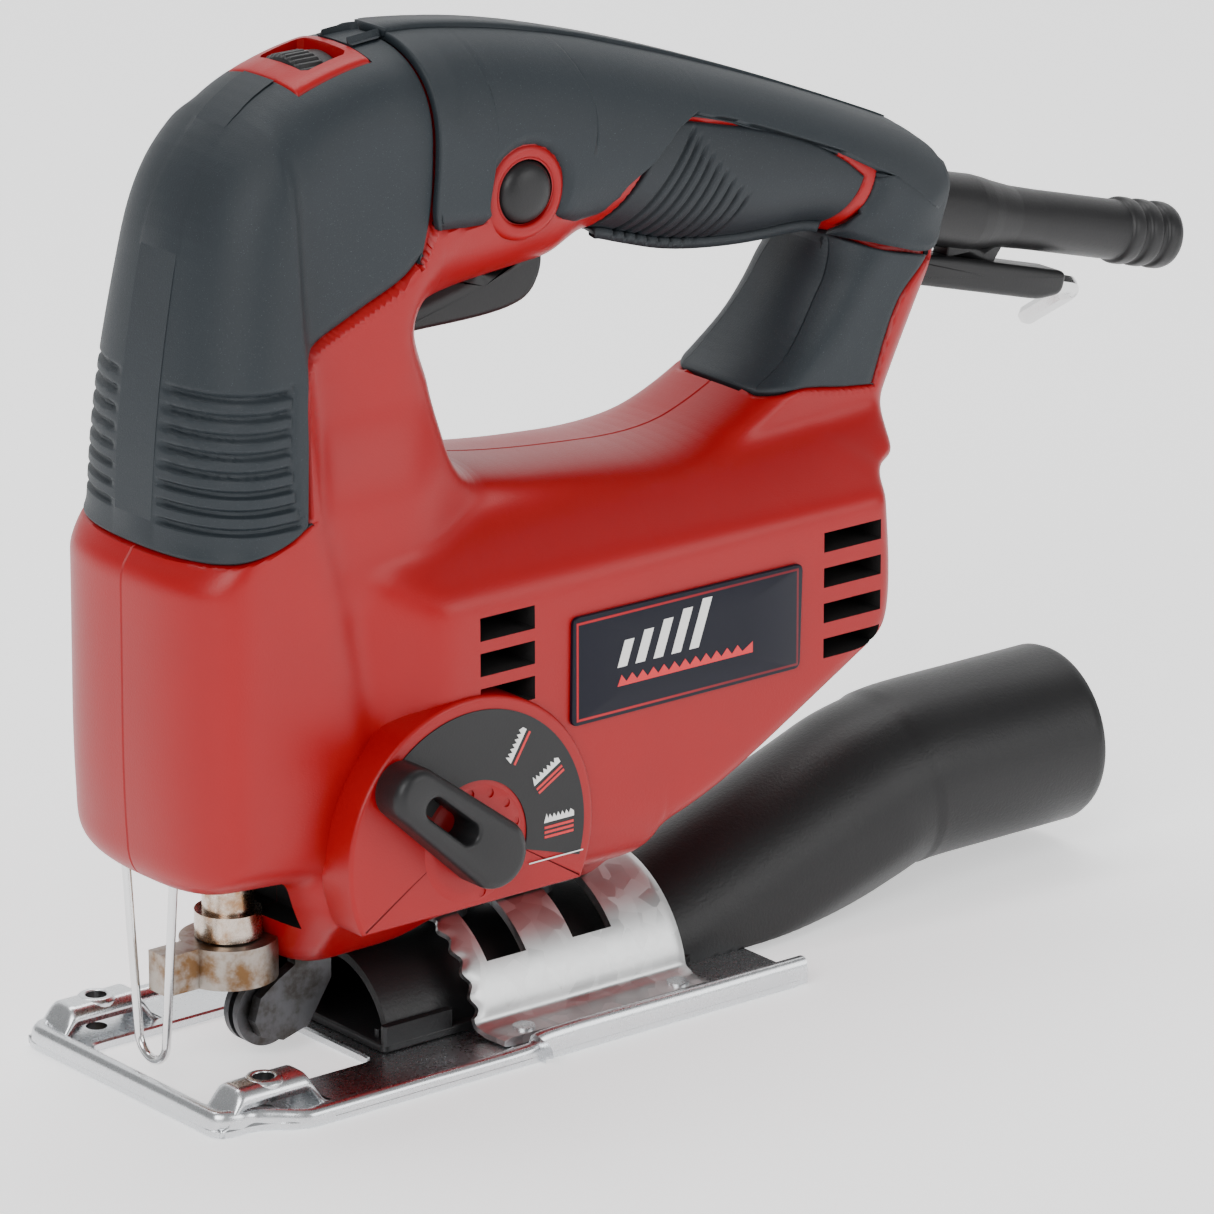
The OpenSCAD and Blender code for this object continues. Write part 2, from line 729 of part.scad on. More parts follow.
module brush_block(h, y0, y1) {
    for (s = [-1, 1]) block([brush_x - h, s < 0 ? -y1 : y0, motor_z - h], [brush_x + h, s < 0 ? -y0 : y1, motor_z + h]);
}
module carbon_brushes() { color("dimgray") brush_block(brush_half, comm_r + 0.3, comm_r + 8); }
module brush_holders() {
    color("goldenrod") difference() {
        brush_block(brush_half + 1.3, comm_r + 1.2, cavity_r - 1.2);
        brush_block(brush_half, comm_r, cavity_r - 2);
    }
}
module brush_springs() {
    color("silver") for (s = [-1, 1]) translate([brush_x, 0, motor_z]) rotate([s * -90, 0, 0])
        spring_z(2, 0.8, comm_r + 8, cavity_r - 2, 4, 0, 0);
}
module armature_shaft() {
    color("silver") {
        bar_x(shaft_r, pinion_x + pinion_len - eps, rear_bearing_x[1], 0, motor_z);
        gear_x(pinion_teeth, gear_m, pinion_x, pinion_x + pinion_len, motor_z, 0);
    }
}
module armature_core() {
    color("peru") difference() {
        union() {
            bar_x(core_r, stack_x0, stack_x1, 0, motor_z);
            bar_x(core_r - 2.5, stack_x0 - 5, stack_x1 + 6, 0, motor_z);
        }
        bar_x(shaft_r, 0, 100, 0, motor_z);
    }
}
module commutator() { color("peru") ring_x(comm_r, shaft_r, comm_x[0], comm_x[1], 0, motor_z); }
fan_r = stator_r - 1;
module cooling_fan() {
    color("dimgray") difference() {
        union() {
            bar_x(fan_r, fan_x[0], fan_x[0] + 1.6, 0, motor_z);
            bar_x(8, fan_x[0], fan_x[1], 0, motor_z);
            for (k = [0:11]) translate([0, 0, motor_z]) rotate([k * 30, 0, 0])
                block([fan_x[0], -0.6, 7], [fan_x[1], 0.6, fan_r - 0.3]);
        }
        bar_x(shaft_r, fan_x[0] - 1, fan_x[1] + 1, 0, motor_z);
    }
}
module gear_wheel() {
    color("gray") difference() {
        gear_x(wheel_teeth, gear_m, wheel_x[0], wheel_x[1], wheel_z, 0.5);
        bar_x(axle_r + slip, wheel_x[0] - 1, wheel_x[1] + 1, 0, wheel_z);
        bar_x(pin_r, wheel_x[0] - 1, wheel_x[1] + 1, 0, wheel_z - crank_r);
    }
}
module crank_pin() { color("silver") bar_x(pin_r, yoke_x[1] + 0.4, wheel_x[1], 0, wheel_z - crank_r); }

// ---------- plunger and blade clamp ----------

yoke_z = wheel_z - crank_r;
module plunger_rod() {
    color("silver") translate([rod_x, 0, collar_z[1]]) cylinder(r = rod_r, h = rod_top - collar_z[1]);
}
module yoke() {
    color("gray") difference() {
        union() {
            block([yoke_x[0], -yoke_half_y, yoke_z - yoke_half_z], [yoke_x[1], yoke_half_y, yoke_z + yoke_half_z]);
            block([rod_x, -7, yoke_z - yoke_half_z], [yoke_x[0] + eps, 7, yoke_z + yoke_half_z]);
        }
        block([yoke_x[0] + 2, -crank_r - pin_r - 0.4, yoke_z - pin_r - 0.4],
              [yoke_x[1] + 1, crank_r + pin_r + 0.4, yoke_z + pin_r + 0.4]);
        translate([rod_x, 0, yoke_z - 20]) cylinder(r = rod_r, h = 40);
    }
}
module clamp_collar() {
    color("dimgray") translate([rod_x, 0, collar_z[0]]) cylinder(r = collar_r, h = collar_z[1] - collar_z[0]);
}
blade_slot = [7.6, 1.7];
module blade_insert() {
    color("dimgray") difference() {
        translate([rod_x, 0, insert_z0]) cylinder(r = insert_r, h = collar_z[0] - insert_z0);
        translate([rod_x - blade_slot[0] / 2, -blade_slot[1] / 2, insert_z0 - 1]) cube([blade_slot[0], blade_slot[1], 6]);
    }
}
module clamp_ring() {
    color("gray") difference() {
        union() {
            translate([rod_x, 0, ring_z[0]]) cylinder(r = ring_r, h = ring_z[1] - ring_z[0]);
            block([rod_x - tab_reach, -tab_half, ring_z[0]], [rod_x, tab_half, ring_z[1]]);
        }
        translate([rod_x, 0, ring_z[0] - 1]) cylinder(r = insert_r + 0.06, h = 20);
    }
}

// ---------- pendulum fork and guide roller ----------

module fork_pin() { color("silver") bar_y(fork_pin_r, -9, 9, fork_pivot[0], fork_pivot[1]); }
module roller_fork() {
    color("black") difference() {
        slab([[-39.6, 9], [-38.2, 13.5], [-34, 16.4], [-30, 18.5], [-29.6, 42], [-22.5, 42], [-21.5, 34], [-21.5, 14],
            [-27, 5.5], [-33, 3.8], [-38, 5.5]], -fork_half, fork_half);
        slab([[-50, 0], [-50, 30], [-26.5, 30], [-26.5, 0]], -roller_w / 2 - gap, roller_w / 2 + gap);
        bar_y(fork_pin_r + slip, -fork_half - 1, fork_half + 1, fork_pivot[0], fork_pivot[1]);
        bar_y(roller_pin_r, -fork_half - 1, fork_half + 1, roller_x, roller_z);
    }
}
module roller_pin() { color("silver") bar_y(roller_pin_r, -fork_half, fork_half, roller_x, roller_z); }
module guide_roller() {
    color("dimgray") difference() {
        bar_y(roller_r, -roller_w / 2, roller_w / 2, roller_x, roller_z);
        bar_y(roller_pin_r + slip, -roller_w, roller_w, roller_x, roller_z);
        // groove for the back of the blade
        translate([roller_x, 0, roller_z]) rotate([90, 0, 0]) rotate_extrude()
            polygon([[roller_r - 1.2, -0.7], [roller_r + 1, -0.7], [roller_r + 1, 0.7], [roller_r - 1.2, 0.7]]);
    }
}

// ---------- bevel clamp ----------

saddle_plate_a = 14;
module clamp_saddle() {
    color("silver") difference() {
        intersection() {
            ring_x(arch_in - gap, arch_in - gap - 1.4, screw_x[0] - 7, screw_x[1] + 7);
            beam([[0, 0], [60 * sin(saddle_plate_a), 60 * cos(saddle_plate_a)],
                [-60 * sin(saddle_plate_a), 60 * cos(saddle_plate_a)]], screw_x[0] - 8, screw_x[1] + 8);
        }
        for (x = screw_x) translate([x, 0, 0]) cylinder(r = bevel_screw_r, h = 40);
    }
}
module bevel_screws() {
    head_z = arch_in - gap - 1.4 - 0.6;
    color("gray") for (x = screw_x) translate([x, 0, 0]) {
        translate([0, 0, head_z - 2]) cylinder(r = 4.2, h = 2);
        translate([0, 0, head_z - eps]) cylinder(r = bevel_screw_r, h = arch_in + 13 - head_z);
    }
}

// ---------- controls ----------

module trigger() {
    pocket_z = trigger_z[0] + 2.5;
    color("black") difference() {
        slab([[trigger_x[0], trigger_z[1]], [trigger_x[0], trigger_z[0]], [20, trigger_z[0]], [26, trigger_z[0] + 2],
            [29, trigger_z[0] + 6], [29, trigger_z[1]]], -7.5, 7.5);
        translate([10, 0, pocket_z]) cylinder(r = 4, h = 20);
    }
}
module trigger_spring() {
    color("silver") spring_z(3, 0.8, trigger_z[0] + 2.5 + trigger_travel + 0.4, 160, 5, 10, 0);
}
module switch_module() { color("black") block([0, -9, 160], [34, 9, 174]); }
module speed_board() {
    color("darkgreen") {
        block([-33, -10, 170], [-11, 10, 171.6]);
        block([-32, -8, 171.6 - eps], [-29, 8, 178]);
    }
}
module lock_button() {
    color("black") {
        bar_y(lock_r, -handle_half - 2.5, -handle_half + 1.6, lock_x, lock_z);
        bar_y(3, -handle_half + 1.6 - eps, -13, lock_x, lock_z);
    }
}
module speed_wheel() {
    n = 30;
    ridges = [for (i = [0:n - 1], k = [0:3]) let (r = k < 2 ? speed_r : speed_r - 0.7, a = (i + k / 4) * 360 / n)
        [r * cos(a), r * sin(a)]];
    color("black") {
        translate([speed_c[0] - speed_half, 0, speed_c[1]]) rotate([90, 0, 90])
            linear_extrude(2 * speed_half) polygon(ridges);
        bar_x(speed_hub_r, speed_c[0] - speed_half - 2, speed_c[0] + speed_half + 2, 0, speed_c[1]);
    }
}
lever_y = [-boss_y - decal_t - gap, -boss_y - decal_t - gap - 8];
lever_len = 24;
lever_half = 5.6;
module selector_lever() {
    color("black") translate([selector_c[0], lever_y[0], selector_c[1]]) rotate([90, 0, 0])
        linear_extrude(lever_y[0] - lever_y[1]) rotate(lever_a) difference() {
            union() {
                circle(r = 7);
                translate([0, -lever_half]) square([lever_len, 2 * lever_half]);
                translate([lever_len, 0]) circle(r = lever_half);
            }
            translate([7.5, -2.2]) square([13, 4.4]);
        }
}
module selector_shaft() {
    color("gray") bar_y(selector_shaft_r, lever_y[0] - 0, -12.5, selector_c[0], selector_c[1]);
}

base_plate();
bevel_bracket();
bracket_rivets();
dust_adapter();
housing_left();
housing_right();
nose_cover();
handle_grip();
finger_pads();
rear_grip();
housing_screws();
label_left();
label_right();
selector_decal();
dial_bezel();
lock_ring();
wire_guard();
gear_case();
bush_upper();
bush_lower();
front_bearing();
rear_bearing();
stator_stack();
stator_windings();
brush_holders();
carbon_brushes();
brush_springs();
air_baffle();
switch_module();
speed_board();
cord_sleeve();
cord_clamp();
key_clip();
hex_key();
clamp_saddle();
bevel_screws();
gear_axle();
armature_shaft();
armature_core();
commutator();
cooling_fan();
gear_wheel();
crank_pin();
plunger_rod();
yoke();
clamp_collar();
blade_insert();
clamp_ring();
fork_pin();
roller_fork();
roller_pin();
guide_roller();
trigger();
trigger_spring();
lock_button();
speed_wheel();
selector_lever();
selector_shaft();
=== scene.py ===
# %% [markdown]
# # A jigsaw around its CAD frame
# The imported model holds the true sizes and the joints. This script dresses it: each shell, cover, wire and
# pressing becomes a smooth surface worked out with numpy, and every part gets a procedural material.
# Lengths are worked in millimetres, in the frame of the CAD model (+X to the rear, +Z up), and turned into
# metres only when a mesh is made.

# %% Load the frame
import math
import bmesh
import bpy
import numpy as np
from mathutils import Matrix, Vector


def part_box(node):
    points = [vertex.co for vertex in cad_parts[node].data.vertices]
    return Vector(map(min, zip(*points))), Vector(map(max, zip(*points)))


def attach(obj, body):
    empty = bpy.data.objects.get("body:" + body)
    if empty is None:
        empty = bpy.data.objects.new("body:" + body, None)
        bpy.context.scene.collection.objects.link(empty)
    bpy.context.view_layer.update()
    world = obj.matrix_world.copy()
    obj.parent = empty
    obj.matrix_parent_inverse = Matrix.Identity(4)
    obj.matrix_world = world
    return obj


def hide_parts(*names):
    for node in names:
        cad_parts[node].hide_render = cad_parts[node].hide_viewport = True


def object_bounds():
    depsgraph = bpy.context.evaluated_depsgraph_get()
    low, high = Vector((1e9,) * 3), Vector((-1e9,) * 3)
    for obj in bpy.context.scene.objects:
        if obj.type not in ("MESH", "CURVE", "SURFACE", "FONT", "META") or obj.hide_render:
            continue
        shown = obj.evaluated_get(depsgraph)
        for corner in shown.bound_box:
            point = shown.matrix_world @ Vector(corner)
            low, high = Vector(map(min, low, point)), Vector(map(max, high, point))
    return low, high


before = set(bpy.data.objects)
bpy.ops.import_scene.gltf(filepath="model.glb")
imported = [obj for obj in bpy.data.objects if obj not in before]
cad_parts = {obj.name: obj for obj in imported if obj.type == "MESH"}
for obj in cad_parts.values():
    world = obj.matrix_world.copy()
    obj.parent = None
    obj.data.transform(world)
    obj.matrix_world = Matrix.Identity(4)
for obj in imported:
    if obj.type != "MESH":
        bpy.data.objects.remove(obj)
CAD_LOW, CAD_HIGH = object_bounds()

MM = 0.001


def node_box(name):
    """Low and high corner of a CAD node, in millimetres."""
    low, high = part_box(name)
    return np.array(low) / MM, np.array(high) / MM


# %% [markdown]
# ## Camera
# A long lens from the front left and a little above keeps the upright edges nearly parallel, as in a
# catalogue. The direction is given by two angles, and the distance by the lens.

# %% Camera
CAM_AZIMUTH, CAM_ELEVATION = math.radians(-38.6), math.radians(18.3)
CAM_LENS = 237.2
CAM_PLACE = Vector((-874.6, -1158.4, 562.8)) * MM
camera_data = bpy.data.cameras.new("camera")
camera_data.lens = CAM_LENS
camera_data.sensor_width = 36.0
camera_data.clip_end = 20
camera = bpy.data.objects.new("camera", camera_data)
camera.location = CAM_PLACE
camera.rotation_euler = (math.pi / 2 - CAM_ELEVATION, 0, CAM_AZIMUTH)
bpy.context.collection.objects.link(camera)
bpy.context.scene.camera = camera

# %% [markdown]
# ## Meshes from grids
# Nearly every piece is a grid: row i and column j hold the point P(i, j). One helper turns the array into
# quads. A grid may close on itself in either direction, and an end row that shrinks to one point is welded.

# %% Grid helper


def new_object(name, verts, faces, material, body, smooth=True):
    """Mesh from points in mm and a list or array of faces; it rides on a body."""
    mesh = bpy.data.meshes.new(name)
    faces = faces.tolist() if isinstance(faces, np.ndarray) else faces
    mesh.from_pydata((np.asarray(verts, float) * MM).tolist(), [], faces)
    mesh.polygons.foreach_set("use_smooth", np.full(len(mesh.polygons), smooth))
    obj = bpy.data.objects.new(name, mesh)
    bpy.context.collection.objects.link(obj)
    for m in material if isinstance(material, (list, tuple)) else [material]:
        mesh.materials.append(m)
    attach(obj, body)
    return obj


def grid_faces(rows, cols, wrap_rows=False, wrap_cols=False, start=0):
    """Quads of a rows x cols grid: point (i, j) has number i * cols + j."""
    i = np.arange(rows if wrap_rows else rows - 1)
    j = np.arange(cols if wrap_cols else cols - 1)
    a, b = np.meshgrid(i, j, indexing="ij")
    a, b = a.ravel(), b.ravel()
    a2, b2 = (a + 1) % rows, (b + 1) % cols
    return np.stack([a * cols + b, a2 * cols + b, a2 * cols + b2, a * cols + b2], 1) + start


def weld(obj, dist=1e-6, recalc=True):
    """Merges doubled points, and turns all faces outwards."""
    bm = bmesh.new()
    bm.from_mesh(obj.data)
    bmesh.ops.remove_doubles(bm, verts=bm.verts, dist=dist)
    bmesh.ops.dissolve_degenerate(bm, edges=bm.edges, dist=1e-7)
    if recalc:
        bmesh.ops.recalc_face_normals(bm, faces=bm.faces)
    bm.to_mesh(obj.data)
    bm.free()
    return obj


def grid_object(name, points, material, body, wrap_rows=False, wrap_cols=False, smooth=True):
    """A grid of points as a welded object."""
    rows, cols = points.shape[:2]
    obj = new_object(name, points.reshape(-1, 3), grid_faces(rows, cols, wrap_rows, wrap_cols),
                     material, body, smooth)
    return weld(obj)


def apply_modifiers(obj):
    """Bakes an object's modifiers into its mesh."""
    deps = bpy.context.evaluated_depsgraph_get()
    mesh = bpy.data.meshes.new_from_object(obj.evaluated_get(deps))
    obj.modifiers.clear()
    old = obj.data
    obj.data = mesh
    bpy.data.meshes.remove(old)
    return obj


def unit(v):
    """Vectors scaled to length one, along the last axis."""
    return v / np.maximum(np.linalg.norm(v, axis=-1, keepdims=True), 1e-12)


def smoothstep(a, b, x):
    """0 below a, 1 above b, and 3t^2 - 2t^3 between."""
    t = np.clip((x - a) / (b - a), 0, 1)
    return t * t * (3 - 2 * t)


# %% [markdown]
# ## Paths, tubes and turned parts
# Wires and ribs are a circle carried along a path. Sleeves, rollers and screws are turned: a profile of
# radius against height, swept round an axis.

# %% Path and lathe helpers


def spline(points, per=12, closed=False):
    """Catmull-Rom curve through the points: each stretch is the cubic with matching end slopes."""
    p = np.asarray(points, float)
    ext = np.vstack([p[-1], p, p[0], p[1]]) if closed else np.vstack([2 * p[0] - p[1], p, 2 * p[-1] - p[-2]])
    t = np.linspace(0, 1, per, endpoint=False)[None, :, None]
    a, b, c, d = (ext[k:len(ext) - 3 + k, None, :] for k in range(4))
    q = 0.5 * (2 * b + (c - a) * t + (2 * a - 5 * b + 4 * c - d) * t ** 2 + (3 * b - a - 3 * c + d) * t ** 3)
    q = q.reshape(-1, p.shape[1])
    return q if closed else np.vstack([q, p[-1]])


def corner_curves(corner, before, after, radius, limit, steps):
    """A quadratic curve (1-t)^2 a + 2t(1-t) c + t^2 b at each corner c. Its ends a and b lie the radius
    away along the two sides, or a share (limit) of a side that is shorter."""
    lb, la = (np.maximum(np.linalg.norm(v, axis=1, keepdims=True), 1e-9) for v in (before, after))
    a = corner + before / lb * np.minimum(radius, lb * limit)
    b = corner + after / la * np.minimum(radius, la * limit)
    t = np.linspace(0, 1, steps)[None, :, None]
    return ((1 - t) ** 2 * a[:, None] + 2 * t * (1 - t) * corner[:, None] + t ** 2 * b[:, None]).reshape(-1,
                                                                                                         2)


def rounded(corners, steps=8):
    """Closed outline whose corners (x, z, r) are rounded over about r."""
    c = np.asarray(corners, float)
    p = c[:, :2]
    return corner_curves(p, np.roll(p, 1, 0) - p, np.roll(p, -1, 0) - p, c[:, 2:3], 0.48, steps)


def along(line, share, closed=False):
    """Points at given shares (0 to 1) of a line's length."""
    q = np.vstack([line, line[:1]]) if closed else line
    run = np.concatenate([[0], np.cumsum(np.linalg.norm(np.diff(q, axis=0), axis=1))])
    s = np.asarray(share) * run[-1]
    return np.stack([np.interp(s, run, q[:, k]) for k in range(q.shape[1])], -1)


def frames(path):
    """Two unit vectors square to the path at each of its points, from a fixed helper direction."""
    tangent = unit(np.gradient(path, axis=0))
    helper = np.array([0.12, 1.0, 0.07]) if abs(tangent[:, 1]).max() < 0.9 else np.array([1.0, 0.05, 0.1])
    side = unit(np.cross(tangent, helper))
    return side, np.cross(tangent, side)


def tube(name, path, radius, material, body, sides=16):
    """Circle of the given radius carried along a path, closed at both ends by shrinking rings."""
    path = np.asarray(path, float)
    side, up = frames(path)
    a = np.linspace(0, 2 * np.pi, sides, endpoint=False)
    ring = np.cos(a)[None, :, None] * side[:, None] + np.sin(a)[None, :, None] * up[:, None]
    pts = path[:, None] + radius * ring
    tangent = unit(np.gradient(path, axis=0))
    caps = [path[k] + radius * (0.35 * s * tangent[k] + 0.82 * ring[k]) for k, s in ((0, -1), (-1, 1))]
    tips = [np.repeat((path[k] + 0.45 * radius * s * tangent[k])[None], sides, 0) for k,
            s in ((0, -1), (-1, 1))]
    pts = np.concatenate([tips[0][None], caps[0][None], pts, caps[1][None], tips[1][None]])
    return grid_object(name, pts, material, body, wrap_cols=True)


def square_to(axis):
    """An axis at length one, and two unit vectors square to it and to each other."""
    axis = unit(np.asarray(axis, float))
    helper = np.array([0.0, 0, 1]) if abs(axis[2]) < 0.9 else np.array([1.0, 0, 0])
    u = unit(np.cross(axis, helper))
    return axis, u, np.cross(axis, u)


def lathe(name, profile, origin, axis, material, body, sides=64, wave=None, smooth=True):
    """Profile of (radius, height) pairs turned round an axis through origin. wave(angle, height) is added
    to the radius, for ridges."""
    prof = np.asarray(profile, float)
    axis, u, v = square_to(axis)
    a = np.linspace(0, 2 * np.pi, sides, endpoint=False)
    r = prof[:, 0][:, None] + (wave(a[None, :], prof[:, 1][:, None]) if wave else 0)
    pts = (np.asarray(origin, float) + prof[:, 1][:, None, None] * axis
           + r[..., None] * (np.cos(a)[None, :, None] * u + np.sin(a)[None, :, None] * v))
    return grid_object(name, pts, material, body, wrap_cols=True, smooth=smooth)


def soften(profile, radius=0.4, steps=4):
    """Rounds the inner corners of an open profile with short quadratic curves."""
    p = np.asarray(profile, float)
    mid = p[1:-1]
    q = corner_curves(mid, p[:-2] - mid, p[2:] - mid, radius, 0.45, steps)
    return np.vstack([p[:1], q, p[-1:]])


# %% [markdown]
# ## Shader maths as expressions
# A small class wraps a socket so that masks and patterns are written as sums and products. Colours are
# mixed with Mix nodes, since a Math node would turn them grey.

# %% Shader helper


class Socket:
    """A value in a material: arithmetic on it adds Math nodes."""

    def __init__(self, mat, link):
        self.mat, self.link = mat, link

    def math(self, operation, *others):
        """One Math node on this value and the others."""
        return self.mat.node("ShaderNodeMath", {"operation": operation},
                             dict(enumerate((self,) + others))).out(0)

    def __add__(self, o): return self.math("ADD", o)
    def __sub__(self, o): return self.math("SUBTRACT", o)
    def __mul__(self, o): return self.math("MULTIPLY", o)
    def __radd__(self, o): return self.math("ADD", o)
    def __rmul__(self, o): return self.math("MULTIPLY", o)
    def __rsub__(self, o): return self.math("MULTIPLY", -1.0).math("ADD", o)
    def abs(self): return self.math("ABSOLUTE")
    def least(self, o): return self.math("MINIMUM", o)

    def step(self, low, high):
        """Smooth 0 to 1 between low and high."""
        n = self.mat.node("ShaderNodeMapRange", {"interpolation_type": "SMOOTHSTEP"},
                          {"Value": self, "From Min": low, "From Max": high})
        return n.out(0)


class Node:
    """A shader node with its sockets by name or number."""

    def __init__(self, mat, node):
        self.mat, self.raw = mat, node

    def out(self, key):
        return Socket(self.mat, self.raw.outputs[key])


class Material:
    def __init__(self, name):
        self.data = bpy.data.materials.new(name)
        self.data.use_nodes = True
        self.tree = self.data.node_tree
        self.tree.nodes.clear()
        self.place = self.node("ShaderNodeTexCoord").out("Object")

    def node(self, kind, settings=None, values=None):
        """Any node: its settings first, then the values or links of its sockets."""
        n = self.tree.nodes.new(kind)
        for key, value in (settings or {}).items():
            setattr(n, key, value)
        for key, value in (values or {}).items():
            if isinstance(value, Socket):
                self.tree.links.new(value.link, n.inputs[key])
            elif value is not None:
                n.inputs[key].default_value = value
        return Node(self, n)

    def axes(self):
        """X, Y and Z of the object's coordinates, in millimetres."""
        n = self.node("ShaderNodeSeparateXYZ", None, {0: self.place})
        return [n.out(k) * 1000.0 for k in range(3)]

    def noise(self, scale, detail=3.0, rough=0.55, stretch=None):
        """Fractal noise from 0 to 1; scale is in features per metre."""
        where = self.place
        if stretch:
            where = self.node("ShaderNodeMapping", None, {"Vector": where, "Scale": stretch}).out(0)
        return self.node("ShaderNodeTexNoise", None, {"Vector": where, "Scale": scale, "Detail": detail,
                                                      "Roughness": rough}).out(0)

    def cells(self, scale, out="Distance"):
        """Cells of about one size: the distance from a cell's middle, or its own colour."""
        return self.node("ShaderNodeTexVoronoi", None, {"Vector": self.place, "Scale": scale}).out(out)

    def mix(self, share, a, b):
        """Colour a turning into colour b as share goes from 0 to 1."""
        col = [c if isinstance(c, Socket) else (*c, 1) for c in (a, b)]
        n = self.node("ShaderNodeMix", {"data_type": "RGBA"}, {0: share, 6: col[0], 7: col[1]})
        return n.out(2)

    def bump(self, height, strength, distance):
        """Normal tilted by the slope of a height; distance is the height's depth in metres."""
        return self.node("ShaderNodeBump", None, {"Height": height, "Strength": strength,
                                                  "Distance": distance}).out(0)

    def finish(self, **values):
        """Ends the tree with a Principled shader."""
        names = {"color": "Base Color", "rough": "Roughness", "metal": "Metallic", "normal": "Normal",
                 "coat": "Coat Weight", "specular": "Specular IOR Level", "glow": "Emission Color",
                 "glow_power": "Emission Strength"}
        vals = {}
        for key, value in values.items():
            if key == "color" and not isinstance(value, Socket):
                value = (*value, 1)
            vals[names[key]] = value
        shader = self.node("ShaderNodeBsdfPrincipled", None, vals)
        self.node("ShaderNodeOutputMaterial", None, {0: shader.out(0)})
        return self.data


# %% [markdown]
# ## Finishes of the moulded parts
# The red casing is moulded against a spark-eroded tool, which leaves a fine even grain. The soft covers
# are a rubbery plastic with a slightly coarser grain and pale specks of talc and dust.

# %% Moulded finishes


def red_plastic():
    """Red moulding: fine even grain, with a broad and faint change of shade."""
    m = Material("red_casing")
    grain = m.noise(2600, 2.0, 0.6)
    broad = m.noise(38, 3.0)
    colour = m.mix(broad, (0.27, 0.0004, 0.0022), (0.32, 0.0006, 0.003))
    rough = 0.31 + 0.10 * grain + 0.05 * broad
    return m.finish(color=colour, rough=rough, specular=0.36,
                    normal=m.bump(grain, 0.30, 0.00012))


def soft_rubber(name="soft_cover", base=(0.0105, 0.0150, 0.0190)):
    """Rubbery plastic: coarser grain and pale specks where a fine noise peaks."""
    m = Material(name)
    grain = m.noise(3000, 3.0, 0.7)
    specks = m.noise(5200, 1.0, 0.4).step(0.69, 0.78)
    broad = m.noise(30, 3.0)
    lighter = tuple(c * 1.3 for c in base)
    colour = m.mix(specks, m.mix(broad, base, lighter), (0.055, 0.065, 0.072))
    rough = 0.47 + 0.16 * grain
    return m.finish(color=colour, rough=rough, specular=0.36, normal=m.bump(grain, 0.42, 0.00016))


def black_plastic(name, base=(0.007, 0.007, 0.0076), rough=0.38, grain_scale=2200, depth=0.00012):
    """Black moulding whose grain sets both its sheen and its bump."""
    m = Material(name)
    grain = m.noise(grain_scale, 3.0, 0.65)
    broad = m.noise(45, 3.0)
    colour = m.mix(broad, base, tuple(c * 1.5 + 0.002 for c in base))
    return m.finish(color=colour, rough=rough - 0.05 + 0.14 * grain, specular=0.34,
                    normal=m.bump(grain, 0.35, depth))


RED = red_plastic()
RUBBER = soft_rubber()
PAD_RUBBER = soft_rubber("pad_rubber", (0.0085, 0.0122, 0.0158))
BLACK = black_plastic("black_moulding")
DUCT_BLACK = black_plastic("duct_moulding", (0.0055, 0.0055, 0.006), 0.40, 1500, 0.0002)
# near-black finish for the walls that cuts lay bare: painted shade in place of the part's own colour in shadow
PAINTED_SHADE = black_plastic("painted_shade_inside", (0.006, 0.005, 0.005), 0.7)

# %% [markdown]
# ## Metal finishes
# Zinc plating shows a bright, slightly mottled skin, hot-dip galvanising a pattern of crystals (the
# spangle), and the plunger and clamp an oily brown tint from heat and cutting dust.

# %% Metal finishes


def plated_steel(name, base=(0.72, 0.74, 0.76), rough=0.22, wear=0.25):
    """Bright plating: mottled shade, fine grain, and scratches drawn out along X."""
    m = Material(name)
    mottled = m.noise(70, 4.0, 0.6)
    fine = m.noise(900, 3.0, 0.6)
    scratch = m.noise(420, 3.0, 0.7, stretch=(1.0, 12.0, 12.0))
    colour = m.mix(mottled, tuple(c * 0.86 for c in base), base)
    rough_value = rough + wear * 0.4 * (mottled - 0.5).abs() + 0.10 * fine
    height = fine * 0.5 + scratch * 0.5
    return m.finish(color=colour, rough=rough_value, metal=1.0, normal=m.bump(height, 0.18, 0.00008))


def galvanised(name, base=(0.66, 0.67, 0.67)):
    """Zinc crystals: each cell has its own shade and sheen."""
    m = Material(name)
    crystals = m.cells(260.0, "Color")
    shade = m.node("ShaderNodeSeparateXYZ", None, {0: crystals}).out(0)
    fine = m.noise(700, 4.0, 0.65)
    colour = m.mix(shade, tuple(c * 0.80 for c in base), tuple(min(1, c * 1.12) for c in base))
    rough = 0.26 + 0.14 * shade + 0.10 * fine
    return m.finish(color=colour, rough=rough, metal=1.0,
                    normal=m.bump(fine * 0.6 + shade * 0.4, 0.2, 0.00008))


def oiled_steel(name, base=(0.38, 0.34, 0.30), tint=(0.20, 0.11, 0.05), rough=0.3):
    """Bare metal with patches of a darker oily tint."""
    m = Material(name)
    stain = m.noise(160, 4.0, 0.65).step(0.42, 0.68)
    fine = m.noise(1500, 3.0, 0.6)
    colour = m.mix(stain, base, tint)
    return m.finish(color=colour, rough=rough + 0.18 * fine, metal=1.0, normal=m.bump(fine, 0.2, 0.00008))


def wound_copper(name="wound_copper"):
    """Lacquered wire: wavy bands stand for the strands."""
    m = Material(name)
    strands = m.node("ShaderNodeTexWave", {"bands_direction": "X"},
                     {"Vector": m.place, "Scale": 420.0, "Distortion": 1.2, "Detail": 2.0}).out(1)
    colour = m.mix(strands, (0.30, 0.10, 0.035), (0.62, 0.27, 0.10))
    return m.finish(color=colour, rough=0.28 + 0.2 * strands, metal=0.85, coat=0.3,
                    normal=m.bump(strands, 0.6, 0.0002))


